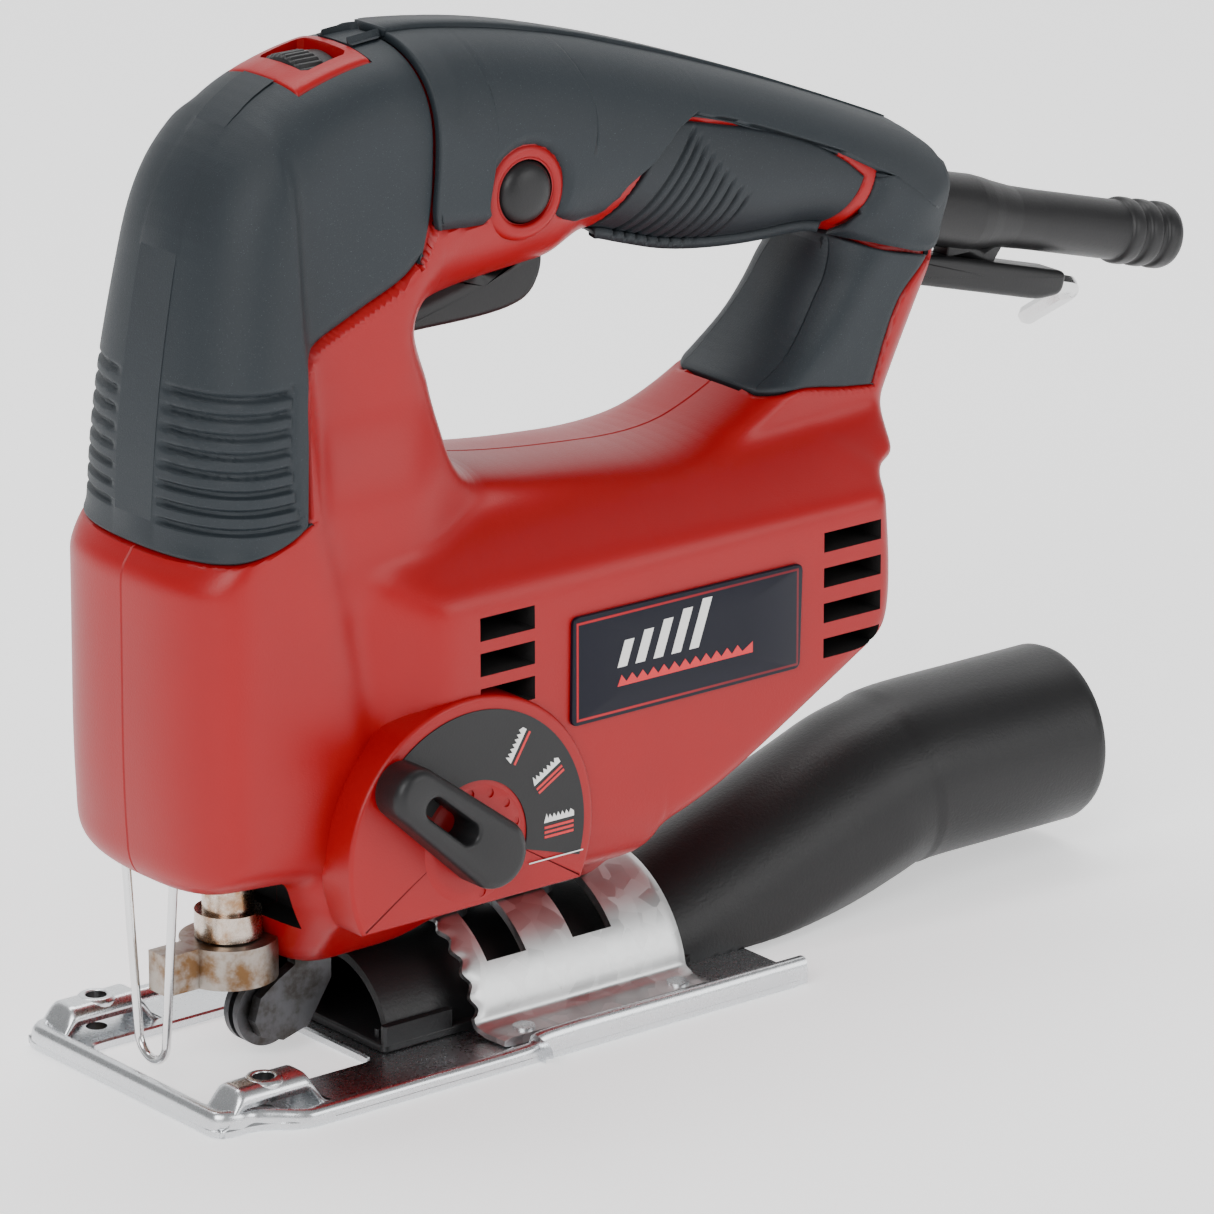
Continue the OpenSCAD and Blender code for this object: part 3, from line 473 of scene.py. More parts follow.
def laminated(name="laminated_steel"):
    """A stack of steel sheets: straight bands along X."""
    m = Material(name)
    sheets = m.node("ShaderNodeTexWave", {"bands_direction": "X"},
                    {"Vector": m.place, "Scale": 320.0, "Distortion": 0.2, "Detail": 1.0}).out(1)
    fine = m.noise(600, 3.0)
    colour = m.mix(sheets, (0.10, 0.10, 0.11), (0.30, 0.30, 0.31))
    return m.finish(color=colour, rough=0.4 + 0.2 * fine, metal=0.9, normal=m.bump(sheets, 0.4, 0.00015))


def circuit_board(name="board_green"):
    """Green board with paler tracks between rounded cells."""
    m = Material(name)
    tracks = m.cells(900).step(0.25, 0.32)
    colour = m.mix(tracks, (0.45, 0.30, 0.10), (0.015, 0.12, 0.05))
    return m.finish(color=colour, rough=0.35 + 0.2 * tracks, normal=m.bump(tracks, 0.3, 0.0001))


ZINC = plated_steel("zinc_plate")
SPANGLE = galvanised("galvanised_sheet")
CHROME = plated_steel("bright_wire", (0.80, 0.80, 0.80), 0.12, 0.1)
GROUND = plated_steel("ground_steel", (0.55, 0.55, 0.56), 0.20, 0.2)
DARK_STEEL = oiled_steel("blackened_steel", (0.10, 0.10, 0.105), (0.05, 0.045, 0.04), 0.35)
CAST = plated_steel("die_cast", (0.50, 0.50, 0.52), 0.42, 0.3)
OILED = oiled_steel("oiled_steel")
ROD_STEEL = oiled_steel("plunger_steel", (0.58, 0.50, 0.43), (0.33, 0.19, 0.10), 0.18)
BRONZE = oiled_steel("sinter_bronze", (0.62, 0.42, 0.20), (0.36, 0.20, 0.08), 0.35)
COPPER = wound_copper()
LAMINATED = laminated()
BOARD = circuit_board()
print("finishes made:", len(bpy.data.materials))

# %% [markdown]
# ## Outlines of the casing
# Both casing halves share one D-shaped side outline with the hand hole in it. It is given by its corners,
# each with its own rounding. The front and the top come from the boxes of the CAD casing and nose cover.

# %% Outlines
FRONT_X, REAR_X = node_box("housing_left")[0][0], 101.0
TOP_Z = node_box("nose_cover")[1][2]
SADDLE_X = 39.0
SKIRT_Z = 18.6

# corner: x, z, rounding
OUTER = [(-61, 130, 16), (-58, 150, 16), (-52.5, 176, 20), (-38, 190.5, 18), (-20, 196, 22), (-4, TOP_Z, 10),
         (20, 193.5, 26), (48, 186, 30), (86, 172.5, 30), (122, 157.5, 14), (133.5, 149.5, 6), (131, 145, 4),
         (124, 133, 10), (112, 110, 14), (106, 96.5, 3), (99.5, 95.5, 3), (REAR_X, 76, 10), (99, 64, 6),
         (62, 43, 12), (SADDLE_X + 3, 33.4, 3), (SADDLE_X, 21, 1.5), (-5, 20.5, 2), (-9, SKIRT_Z, 2),
         (-28, SKIRT_Z - 0.2, 3), (-34, 21, 3), (-40, 39.5, 2), (-59, 40.8, 4), (-64.6, 44.5, 5),
         (-65.6, 62, 12),
         (FRONT_X + 0.4, 104, 3), (-62.4, 107.6, 1.5)]
HOLE = [(-5, 144, 2.5), (-3, 131, 12), (1.2, 114, 7), (22, 110, 16), (58, 107, 14), (74, 112.5, 10),
        (86, 120, 10), (97, 135, 7), (99, 141, 3.5), (93, 144.6, 7), (76, 144, 10), (58, 146, 10),
        (45, 150, 10),
        (38, 152.5, 6), (29, 148, 2), (8, 146.2, 4)]
outer_line = rounded(OUTER)
hole_line = rounded(HOLE)

# pairs of places, on the outline and on the hole, that face each other across the casing
FACING = [((48, 186), (45, 150)), ((-4, 197), (-2, 145)), ((-60, 140), (-3, 131)), ((-65.6, 62), (0, 117)),
          ((-40, 40), (3, 112.5)), ((-9, 18.6), (12, 111)), ((SADDLE_X, 21), (36, 108.5)),
          ((99, 64), (62, 108)), ((99.5, 95.5), (74, 112.5)), ((112, 110), (90, 126)),
          ((133.5, 149.5), (98.5, 141)), ((100, 167), (84, 144.3))]


def share_of(line, place):
    """Share of a closed line's length at the point nearest to a place."""
    q = np.vstack([line, line[:1]])
    run = np.concatenate([[0], np.cumsum(np.linalg.norm(np.diff(q, axis=0), axis=1))])
    return run[np.argmin(np.linalg.norm(line - np.asarray(place, float), axis=1))] / run[-1]


def facing_loops(count):
    """Both outlines sampled at facing places: the pairs fix the shares, and the stretches between run
    evenly. Both run the same way round."""
    outer = outer_line[::-1] if turning(outer_line) != turning(hole_line) else outer_line
    so = np.array([share_of(outer, a) for a, _ in FACING])
    sh = np.array([share_of(hole_line, b) for _, b in FACING])
    so, sh = (so - so[0]) % 1, (sh - sh[0]) % 1
    order = np.argsort(so)
    so, sh = np.append(so[order], 1.0), np.append(sh[order], 1.0)
    s = np.linspace(0, 1, count, endpoint=False)
    base_o, base_h = share_of(outer, FACING[0][0]), share_of(hole_line, FACING[0][1])
    # spread the samples by the outer length, so that corners keep their points
    return along(outer, (s + base_o) % 1, True), along(hole_line, (np.interp(s, so, sh) + base_h) % 1, True)


def turning(line):
    """Sign of the area that a closed line encloses."""
    x, z = line[:, 0], line[:, 1]
    return np.sign(np.sum(x * np.roll(z, -1) - np.roll(x, -1) * z))


def distance(points, line, closed=True):
    """Distance from each point to the nearest piece of a line: the point is projected on every segment."""
    a = line if closed else line[:-1]
    b = np.roll(line, -1, 0) if closed else line[1:]
    ab = b - a
    length2 = np.maximum((ab ** 2).sum(1), 1e-12)
    best = np.empty(len(points))
    for k in range(0, len(points), 4096):
        ap = points[k:k + 4096, None, :] - a[None]
        t = np.clip((ap * ab).sum(2) / length2, 0, 1)
        best[k:k + 4096] = np.sqrt((((ap - t[..., None] * ab) ** 2).sum(2)).min(1))
    return best


def inside(points, line):
    """True where a point lies in a closed line: an odd number of edges crosses its level to the right."""
    a, b = line, np.roll(line, -1, 0)
    hit = np.zeros(len(points), bool)
    for k in range(0, len(points), 4096):
        x, z = points[k:k + 4096, 0][:, None], points[k:k + 4096, 1][:, None]
        cross = (a[:, 1] > z) != (b[:, 1] > z)
        at = (b[:, 0] - a[:, 0]) * (z - a[:, 1]) / np.where(b[:, 1] == a[:, 1], 1e-9,
                                                            b[:, 1] - a[:, 1]) + a[:, 0]
        hit[k:k + 4096] = (cross & (x < at)).sum(1) % 2 == 1
    return hit


print("outline corners:", len(OUTER), "hole corners:", len(HOLE))

# %% [markdown]
# ## Width of the casing
# Seen from the side, each place (x, z) of the casing has a half width y = h(x, z). The width W is built
# from facets with soft minima and maxima: a motor body with a sloping shoulder, a narrower front block
# that ends in a crease, and the slim handle and column. Near the outlines a superellipse rounds it off.

# %% Width field
BODY_HALF, FRONT_HALF, HANDLE_HALF = 33.0, 26.0, 17.4
RIDGE_Z = 94.0


def soft_min(a, b, k=1.5):
    """The lesser of two fields, with the corner rounded over about k mm."""
    h = np.clip(0.5 + 0.5 * (b - a) / k, 0, 1)
    return b * (1 - h) + a * h - k * h * (1 - h)


def soft_max(a, b, k=1.5):
    """The greater of two fields, rounded over in the same way."""
    return -soft_min(-a, -b, k)


def rounding(u, n):
    """Superellipse from 0 at the edge to 1 at u = 1."""
    return (1 - (1 - np.clip(u, 0, 1)) ** n) ** (1 / n)


def crease(z):
    """Where the front block ends, seen from the side."""
    return np.interp(z, [18, 40, 66.7, 84.2, 115.2, 150], [-24, -27, -27.5, -31, -38.6, -40])


def width(x, z):
    """Half width of the casing before its edges are rounded."""
    shoulder = BODY_HALF - (z - RIDGE_Z) * 1.34
    low = np.where(z < 31.2, z - 10.2, 28 + (BODY_HALF - 28) * np.clip((z - 32.2) / 13, 0, 1))
    step = smoothstep(31.2, 32.2, z)
    low = np.where((z >= 31.2) & (z < 32.2), 21.0 * (1 - step) + 28 * step, low)
    flare = 23.5 + (BODY_HALF - 23.5) * smoothstep(-29, -11, x)
    motor = soft_min(soft_min(soft_min(shoulder, BODY_HALF), flare, 3), low, 1.0)
    front = FRONT_HALF - 5 * smoothstep(108, 190, z) - 1.25 * np.maximum(0, x - crease(z))
    front = soft_min(front, np.where(z < 34, z - 10.2, 40.0), 1.0)
    column = (1.6 + 4.4 * smoothstep(132, 112, z)) * smoothstep(8, -16, x)
    handle = (HANDLE_HALF - 2.2 * smoothstep(40, 130, x) + column) * smoothstep(66, 98, z)
    return soft_max(soft_max(motor, front, 2.0), handle, 3.0)


def half_width(x, z, d_out, d_hole):
    """Half width with rounded edges, from the distances to the outer outline and to the hand hole."""
    grip = smoothstep(132, 146, z) * smoothstep(-14, 2, x)
    nose = smoothstep(104, 112, z) * smoothstep(0, -12, x)
    block = smoothstep(108, 100, z) * smoothstep(-30, -44, x)
    skirt = smoothstep(44, 36, z) * smoothstep(2, -10, x)
    span = d_out + d_hole
    r_out = 8 + 12 * grip + 7 * nose + 5 * block - 4 * skirt
    r_hole = 5 + 13 * grip + 4 * nose + 3 * smoothstep(84, 96, x) * (1 - grip)
    r_out, r_hole = np.minimum(r_out, 0.55 * span), np.minimum(r_hole, 0.5 * span)
    n = 2.5 - 0.35 * grip + 0.2 * block
    h = width(x, z) * rounding(d_out / r_out, n) * rounding(d_hole / r_hole, n)
    return np.maximum(h, 0)


def height_at(points):
    """Half width at places given by x and z."""
    return half_width(points[:, 0], points[:, 1], distance(points, outer_line), distance(points, hole_line))


# %% [markdown]
# ## Edges of the soft covers
# Each cover is a patch between four curves, drawn on the side view. The casing beneath a cover is sunk by
# a little more than the cover is thick, so a thin seam shows round every edge.

# %% Cover outlines
LOCK_X, LOCK_Z = ((np.add(*node_box("lock_button"))) / 2)[[0, 2]]
RING_R = 9.6


def rib_spread(s):
    """Shares from 0 to 1, set three times closer over the ribs, in the first third of the nose."""
    grow = np.interp(np.linspace(0, 1, 400), [0, 0.30, 0.34, 1], [1, 1, 3.2, 3.2])
    run = np.concatenate([[0], np.cumsum(grow[1:])])
    return np.interp(s, np.linspace(0, 1, 400), run / run[-1])


def piece_of(line, start, end, count, forward=True, spread=lambda s: s):
    """Part of a closed line from the point nearest start to the point nearest end."""
    s0, s1 = share_of(line, start), share_of(line, end)
    if forward and s1 < s0:
        s1 += 1
    if not forward and s1 > s0:
        s1 -= 1
    return along(line, (s0 + (s1 - s0) * spread(np.linspace(0, 1, count))) % 1, True)


def even(points, count, smooth=True, spread=lambda s: s):
    """A line through the points, with evenly spread samples, or spread as asked."""
    return along(spline(points) if smooth else np.asarray(points, float), spread(np.linspace(0, 1, count)))


def matched(points, inner, count):
    """A free edge sampled so that its points face those of the inner line with about the same x."""
    q = along(np.asarray(points, float), np.linspace(0, 1, 1200))
    share = np.linspace(0, 1, len(inner))
    reach = np.interp(np.maximum.accumulate(q[:, 0]), np.maximum.accumulate(inner[:, 0]), share)
    at = 0.82 * reach + 0.18 * np.linspace(0, 1, len(q))
    at = (at - at[0]) / (at[-1] - at[0])
    return np.stack([np.interp(np.linspace(0, 1, count), at, q[:, k]) for k in range(2)], 1)


U_COUNT, W_COUNT = ((360, 50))
OUTER_RUN = 1 if turning(outer_line) < 0 else -1
nose_sides = dict(
    start=even([(-62.4, 108.4), (-54, 109.2), (-46, 111), (-40, 114)], W_COUNT),
    end=even([(-6.9, 196.9), (-5.9, 188), (-5.7, 176), (-6.6, 166), (-9.0, 157.0)], W_COUNT),
    inner=piece_of(outer_line, (-62.4, 108.4), (-6.9, 196.9), U_COUNT, OUTER_RUN > 0, rib_spread),
    outer=even([(-40, 114), (-39.4, 127), (-38.6, 139), (-34, 144.5), (-24, 149.0), (-14, 153.2),
                (-9.0, 157.0)],
               U_COUNT, spread=rib_spread),
    u=rib_spread(np.linspace(0, 1, U_COUNT)))
ring = [(LOCK_X + (RING_R + 0.5) * math.cos(a), LOCK_Z + (RING_R + 0.5) * math.sin(a))
        for a in np.linspace(math.radians(205), math.radians(-35), 14)]
grip_sides = dict(
    start=even([(-6.5, 196.9), (-5.5, 188), (-5.3, 176), (-6.1, 166.3), (-5.6, 162.8)], W_COUNT),
    end=even([(117, 159.6), (122, 153), (124.6, 146.5), (119.5, 136.8), (109, 138.8), (98.6, 142.6)],
             W_COUNT),
    inner=piece_of(outer_line, (-6.5, 196.9), (117, 159.6), U_COUNT, OUTER_RUN > 0))
GRIP_EDGE = ([(-5.6, 162.8), (3, 161.9)] + ring + [(30, 158.4), (35.5, 158.6), (40.5, 163.5), (45.4, 172.8),
               (50.0, 177.4), (60, 175.9), (84, 169.3), (96, 163.2), (106, 155.0), (102.5, 148),
               (98.6, 142.6)])
grip_sides["outer"] = matched(GRIP_EDGE, grip_sides["inner"], U_COUNT)
rear_sides = dict(
    start=even([(77.5, 113.9), (86, 114.2), (96, 112.6), (104.6, 111.5)], W_COUNT),
    end=even([(98.9, 141.2), (108, 138.0), (115, 136.2), (119.5, 135.0)], W_COUNT),
    inner=piece_of(hole_line, (77.5, 113.9), (98.9, 141.2), U_COUNT, turning(hole_line) > 0),
    outer=even([(104.6, 111.5), (108, 121), (112, 128.5), (119.5, 135.0)], U_COUNT))
pad_sides = dict(
    start=even([(50.8, 173.4), (45.6, 164.6), (42, 158.2), (39.0, 152.6)], W_COUNT * 2),
    end=even([(101.5, 154.2), (99.5, 150.5), (97.0, 146.2), (95.8, 144.3)], W_COUNT * 2),
    inner=even([(50.8, 173.4), (53, 173.4), (62, 171.3), (84, 165.2), (95.4, 159.0), (101.5, 154.2)],
               U_COUNT),
    outer=piece_of(hole_line, (38.6, 152.6), (95.8, 144.3), U_COUNT, turning(hole_line) < 0))


def loop_of(sides):
    """The closed outline of a patch."""
    return np.vstack([sides["inner"], sides["end"][1:], sides["outer"][::-1][1:], sides["start"][::-1][1:-1]])


COVER_LOOPS = [loop_of(s) for s in (nose_sides, grip_sides, rear_sides, pad_sides)]
SEAM_STRIPS = [np.vstack([nose_sides["end"], grip_sides["start"][::-1]]),
               np.vstack([grip_sides["end"], rear_sides["end"]])]
COVER_EDGES = [[s["start"], s["outer"], s["end"]] for s in (nose_sides, grip_sides, rear_sides)]
COVER_EDGES += [[pad_sides["start"], pad_sides["inner"], pad_sides["end"]]]


COVER_DEPTH, STRIP_DEPTH = 2.2, 1.3


def sink(points):
    """How far the casing is sunk below the covers: the full depth is reached 1 mm inside their free edges.
    The strips between two covers are sunk as well, so that their seam stays dark."""
    depth = np.zeros(len(points))
    for loop, lines in zip(COVER_LOOPS, COVER_EDGES):
        d = np.min([distance(points, line, closed=False) for line in lines], 0)
        d = np.where(inside(points, loop), d, -d)
        depth = np.maximum(depth, COVER_DEPTH * smoothstep(-0.8, 0.8, d))
    for loop in SEAM_STRIPS:
        depth = np.maximum(depth, STRIP_DEPTH * smoothstep(1.1, 0.7, distance(points, loop)))
    return depth


# %% [markdown]
# ## Casing halves
# Each half is a ring-shaped grid between the outline and the hand hole: s runs round, t runs across. Its
# back is flat on the parting plane and a small chamfer marks the seam. Openings are cut with one joined
# cutter whose faces carry a near-black finish: painted shade on the walls inside.

# %% Casing halves
S_COUNT, T_COUNT = ((800, 84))
loop_outer, loop_hole = facing_loops(S_COUNT)


def prism_faces(n):
    """Faces of a prism: its n lower points come first, then its n upper points."""
    around = [(k, (k + 1) % n, n + (k + 1) % n, n + k) for k in range(n)]
    return [tuple(range(n))[::-1], tuple(range(n, 2 * n))] + around


def box_shape(low, high, bevel=0.0):
    """Corner points and faces of a box, with the upright edges cut by a bevel."""
    (x0, y0, z0), (x1, y1, z1) = low, high
    b = bevel
    ring2 = [(x0 + b, y0), (x1 - b, y0), (x1, y0 + b), (x1, y1 - b), (x1 - b, y1), (x0 + b, y1), (x0, y1 - b),
             (x0, y0 + b)] if b else [(x0, y0), (x1, y0), (x1, y1), (x0, y1)]
    return [(x, y, z0) for x, y in ring2] + [(x, y, z1) for x, y in ring2], prism_faces(len(ring2))


def rod_shape(origin, axis, radius, low, high, sides=48):
    """A closed cylinder as points and faces."""
    axis, u, v = square_to(axis)
    a = np.linspace(0, 2 * np.pi, sides, endpoint=False)
    ring2 = radius * (np.cos(a)[:, None] * u + np.sin(a)[:, None] * v)
    o = np.asarray(origin, float)
    return np.vstack([o + low * axis + ring2, o + high * axis + ring2]), prism_faces(sides)


def joined(shapes):
    """Several shapes as one list of points and one of faces."""
    verts, faces = [], []
    for v, f in shapes:
        faces += [tuple(k + len(verts) for k in face) for face in f]
        verts += [tuple(p) for p in v]
    return verts, faces


def subtract(obj, tool, tool_finish=True):
    """Boolean difference, after which the tool is removed. The new faces take the tool's finish, or keep
    the object's own."""
    mod = obj.modifiers.new("cut", "BOOLEAN")
    mod.operation, mod.solver, mod.object, mod.use_self = "DIFFERENCE", "EXACT", tool, True
    if tool_finish:
        mod.material_mode = "TRANSFER"
    apply_modifiers(obj)
    mesh = tool.data
    bpy.data.objects.remove(tool)
    bpy.data.meshes.remove(mesh)


def cut(obj, shapes, material=None):
    """Takes the shapes out of an object; the faces that appear carry painted shade, a near-black finish, unless
    a finish is given.
    """
    verts, faces = joined(shapes)
    mesh = bpy.data.meshes.new("cutter")
    mesh.from_pydata((np.asarray(verts, float) * MM).tolist(), [], faces)
    tool = bpy.data.objects.new("cutter", mesh)
    bpy.context.collection.objects.link(tool)
    mesh.materials.append(material or PAINTED_SHADE)
    subtract(obj, weld(tool))


def sharp_by_angle(obj, degrees=38):
    """Smooth shading, with edges sharper than the angle kept crisp."""
    mesh = obj.data
    mesh.polygons.foreach_set("use_smooth", np.full(len(mesh.polygons), True))
    mesh.set_sharp_from_angle(angle=math.radians(degrees))
    return obj


def slot_row(xs, zs, tall, reach):
    """Ventilation slots through one side, as boxes at the heights zs."""
    return [box_shape((xs[0], min(reach), z - tall / 2), (xs[1], max(reach), z + tall / 2)) for z in zs]


# openings of the casing: the saddle over the bracket, the blade's room, the trigger's slot and the wheel's
SADDLE_START, SADDLE_R = -5.2, 24.95
BLADE_LOW, BLADE_HIGH = np.array([-57.5, -15, 30]), np.array([-30.5, 15, 56])
TRIG_GAP, TRIG_ROOM = 0.4, 7.0
TRIG_LOW, TRIG_HIGH = node_box("trigger")
LOCK_LOW = node_box("lock_button")[0]
WHEEL_LOW, WHEEL_HIGH = node_box("speed_wheel")
# ventilation slots: x from and to, heights, height of one slot, and how near the middle they reach
REAR_LEVELS = (88.3, 81.1, 73.9, 66.7)
SLOTS = [((-6.2, 6.8), (88, 81, 74), 4.6, 22.0), ((78, 92.5), REAR_LEVELS, 4.0, 19.0),
         ((96.5, 110), REAR_LEVELS, 4.0, 9.0)]
SLOT_OUT = 40.0


def relaxed(h, rounds=10):
    """Takes small ridges out of the width field: each inner place moves to the mean of its neighbours."""
    for _ in range(rounds):
        mean = (np.roll(h, 1, 1) + np.roll(h, -1, 1))[1:-1] + h[2:] + h[:-2]
        h = h.copy()
        h[3:-3] = 0.5 * h[3:-3] + 0.125 * mean[2:-2]
    return h


# the seam between the halves: a chamfer from SEAM_Y at the skin to SEAM_BACK, SEAM_DEPTH below it
SEAM_Y, SEAM_BACK, SEAM_DEPTH = 0.30, 0.03, 0.28


def casing_half(name, side):
    """One half: side is -1 or 1 for the Y direction it lies in. Point (t, s) lies at
    (1 - t) outer(s) + t hole(s) seen from the side, and stands out by the half width there, less the sink."""
    w = np.linspace(0, 1, T_COUNT)[:, None, None]
    t = 0.5 - 0.5 * np.cos(np.pi * w)
    flat = (1 - t) * loop_outer[None] + t * loop_hole[None]
    pts = flat.reshape(-1, 2)
    h = relaxed(height_at(pts).reshape(T_COUNT, S_COUNT))
    probe = flat.copy()
    probe[:4], probe[-4:] = flat[4], flat[-5]
    shell = np.stack([flat[..., 0], side * (SEAM_Y + h), flat[..., 1]], -1)
    wrapped = np.concatenate([shell[:, -1:], shell, shell[:, :1]], 1)
    normal = unit(np.cross(np.gradient(wrapped, axis=0), np.gradient(wrapped, axis=1)))[:, 1:-1]
    normal = normal * np.sign((normal[..., 1] * side).sum())
    for row in (0, -1):
        normal[row, :, 1] = 0
    normal = unit(normal)
    shell = shell - normal * sink(probe.reshape(-1, 2)).reshape(T_COUNT, S_COUNT)[..., None]
    shell[..., 1] = side * np.maximum(SEAM_Y, side * shell[..., 1])
    seam = []
    for row in (0, -1):
        edge = shell[row] - SEAM_DEPTH * normal[row]
        edge[:, 1] = SEAM_BACK * side
        seam.append(edge[None])
    grid = np.concatenate([seam[0], shell, seam[1]])
    obj = grid_object(name, grid, [RED, PAINTED_SHADE], "housing", wrap_rows=True, wrap_cols=True)
    shapes = [rod_shape((SADDLE_START, 0, 0), (1, 0, 0), SADDLE_R, 0, SADDLE_X + 6, 96),
              box_shape(BLADE_LOW, BLADE_HIGH, 3),
              box_shape(TRIG_LOW - (TRIG_GAP, TRIG_GAP, 0), TRIG_HIGH + (TRIG_GAP, TRIG_GAP, TRIG_ROOM)),
              box_shape(WHEEL_LOW - (0.6, 0.8, 0.6), (WHEEL_HIGH[0] + 0.6, WHEEL_HIGH[1] + 0.8, 205))]
    for xs, zs, tall, deep in SLOTS:
        shapes += slot_row(xs, zs, tall, (side * deep, side * SLOT_OUT))
    if side * LOCK_LOW[1] > 0:
        shapes.append(rod_shape((LOCK_X, 0, LOCK_Z), (0, side, 0), 6.3, 9, 30))
    # the walls of the openings and slots take painted shade, a near-black finish, not the red of the casing
    cut(obj, shapes)
    sharp_by_angle(obj, 34)
    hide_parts(name)
    return obj


for node_name in ("housing_left", "housing_right"):
    lo, hi = node_box(node_name)
    half = casing_half(node_name, 1 if hi[1] > -lo[1] else -1)
    print(node_name, "vertices", len(half.data.vertices))

# %% [markdown]
# ## Soft covers
# A cover patch is a Coons surface on the side view: u runs along the outline, w from the outline to the
# free edge. For the covers that wrap over the parting plane, w is mirrored to the other side, and the
# square of w is used so that the points stay even where the surface turns over. The skin stands a little
# proud, its edges roll down, and an inner layer closes it.

# %% Cover patches


def coons(sides, w):
    """Blend of four boundary curves: along u between start and end, along w between inner and outer,
    minus the bilinear blend of the corners."""
    u = sides.get("u")
    u = (np.linspace(0, 1, len(sides["inner"])) if u is None else u)[:, None, None]
    w = w[None, :, None]
    run = np.linspace(0, 1, len(sides["start"]))
    c0 = np.stack([np.interp(w[0, :, 0], run, sides["start"][:, k]) for k in range(2)], -1)[None]
    c1 = np.stack([np.interp(w[0, :, 0], run, sides["end"][:, k]) for k in range(2)], -1)[None]
    s, b = sides["inner"][:, None], sides["outer"][:, None]
    corner = ((1 - u) * (1 - w) * s[0] + u * (1 - w) * s[-1] + (1 - u) * w * b[0] + u * w * b[-1])
    return (1 - w) * s + w * b + (1 - u) * c0 + u * c1 - corner


def normals_of(points):
    """Unit normals of a grid of points from its two tangents."""
    du = np.gradient(points, axis=0)
    dv = np.gradient(points, axis=1)
    return unit(np.cross(du, dv))


def closed_between(outer, inner):
    """Grid of a closed shell round two facing grids: both skins in one loop, with a line at each end."""
    loop3 = np.concatenate([outer, inner[:, ::-1]], 1)
    middle = (outer + inner) / 2
    cap = np.concatenate([middle, middle[:, ::-1]], 1)
    return np.concatenate([cap[:1], loop3, cap[-1:]])


EDGE_DROP = 0.55


def cover(name, sides, material, relief, proud=0.35, wrap=True, side=1, thick=1.7, replace=True,
          roll=0.7):
    """One cover. Its skin is the casing's surface moved out by proud, less a quarter-round fall near the
    free edges, less relief(x, z, y), the depth of its ribs and grooves."""
    count = W_COUNT if wrap else W_COUNT * 2
    w = np.linspace(0, 1, count)
    w = w ** 1.7 if wrap else w
    flat = coons(sides, w)
    rows, cols = flat.shape[:2]
    pts = flat.reshape(-1, 2)
    h = relaxed(height_at(pts).reshape(rows, cols), 4)
    half = np.stack([flat[..., 0], h, flat[..., 1]], -1)
    if wrap:
        half[:, 0, 1] = 0
        surface = np.concatenate([(half * [1, -1, 1])[:, :0:-1], half], 1)
    else:
        surface = half * [1, side, 1]
    n = normals_of(surface)
    if wrap:
        mid = count - 1
        n[:, mid] = unit(n[:, mid] * [1, 0, 1])
        outward = np.sign((n[:, -4:, 1]).sum())
    else:
        outward = np.sign(n[..., 1].sum()) * side
    n = n * (outward if outward else 1)
    xz = surface[..., [0, 2]].reshape(-1, 2)
    if wrap:
        edge = np.min([distance(xz, sides[key], closed=False) for key in ("start", "outer", "end")], 0)
    else:
        edge = distance(xz, loop_of(sides))
    edge = edge.reshape(surface.shape[:2])
    fall = (1 - np.sqrt(np.clip(1 - (1 - np.clip(edge / roll, 0, 1)) ** 2, 0, 1)))
    depth = relief(surface[..., 0], surface[..., 2], surface[..., 1]) if relief else 0
    grid = closed_between(surface + n * (proud - EDGE_DROP * fall - depth)[..., None], surface - n * thick)
    obj = grid_object(name, grid, [material, PAINTED_SHADE], "housing", wrap_cols=True)
    if replace:
        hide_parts(name)
    return obj


def groove(value, half, soft=0.35):
    """1 within half a width of zero, falling smoothly to 0."""
    return smoothstep(half + soft, half - soft, np.abs(value))


def nose_relief(x, z, y):
    """Eight level grooves on each cheek, parted by a smooth strip up the front, with a shallow panel line."""
    rows = np.zeros_like(x)
    for k in range(8):
        rows = np.maximum(rows, groove(z - (114.6 + 3.55 * k), 0.62, 0.4))
    back = np.interp(z, [108, 118, 128, 142, 150], [-40, -43.5, -44, -42.5, -42])
    panel = smoothstep(7.4, 8.4, np.abs(y)) * smoothstep(back, back - 1.2, x)
    panel = panel * smoothstep(112.8, 113.4, z) * smoothstep(141.2, 140.4, z)
    cheek = groove(x - back, 0.45, 0.35) * smoothstep(112.5, 113.5, z) * smoothstep(141.5, 140.5, z)
    return 0.95 * rows * panel + 0.4 * np.maximum(0, cheek - rows * panel)


def grip_relief(x, z, y):
    """A fine groove along the crown of the handle, where the mould halves meet."""
    return 0.25 * groove(y, 0.25, 0.2) * smoothstep(4, 10, x)


def pad_relief(x, z, y):
    """Nine curved grooves that fan out in the lower front of the pad, narrowing to the top."""
    depth = np.zeros_like(x)
    for k in range(9):
        bend = 42.4 + 3.15 * k + 0.35 * (z - 146) + 0.012 * (z - 146) ** 2 * (1 - 0.05 * k)
        low = 146.5 - 0.1 * k
        high = 172.0 - 1.9 * k
        depth = np.maximum(depth, groove(x - bend, 0.62 - 0.03 * k, 0.35)
                           * smoothstep(low, low + 1.5, z) * smoothstep(high, high - 3.0, z))
    return 0.85 * depth


nose_cover = cover("nose_cover", nose_sides, RUBBER, nose_relief)
cover("handle_grip", grip_sides, RUBBER, grip_relief)
cover("rear_grip", rear_sides, RUBBER, None)
pads = [cover("finger_pad_" + tag, pad_sides, PAD_RUBBER, pad_relief, proud=0.45, wrap=False,
              side=side, replace=False) for tag, side in (("near", -1), ("far", 1))]
for pad in pads:
    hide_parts("finger_pads")
print("covers made:", 3 + len(pads))

# %% [markdown]
# ## Speed dial in its bezel
# The red bezel is a saddle-shaped plate let into the nose cover, with a window. It is cut from the same
# outline as the cover, by taking the strip of the casing between two places along the top.

# %% Bezel and dial
bezel_half = node_box("dial_bezel")[1][1]


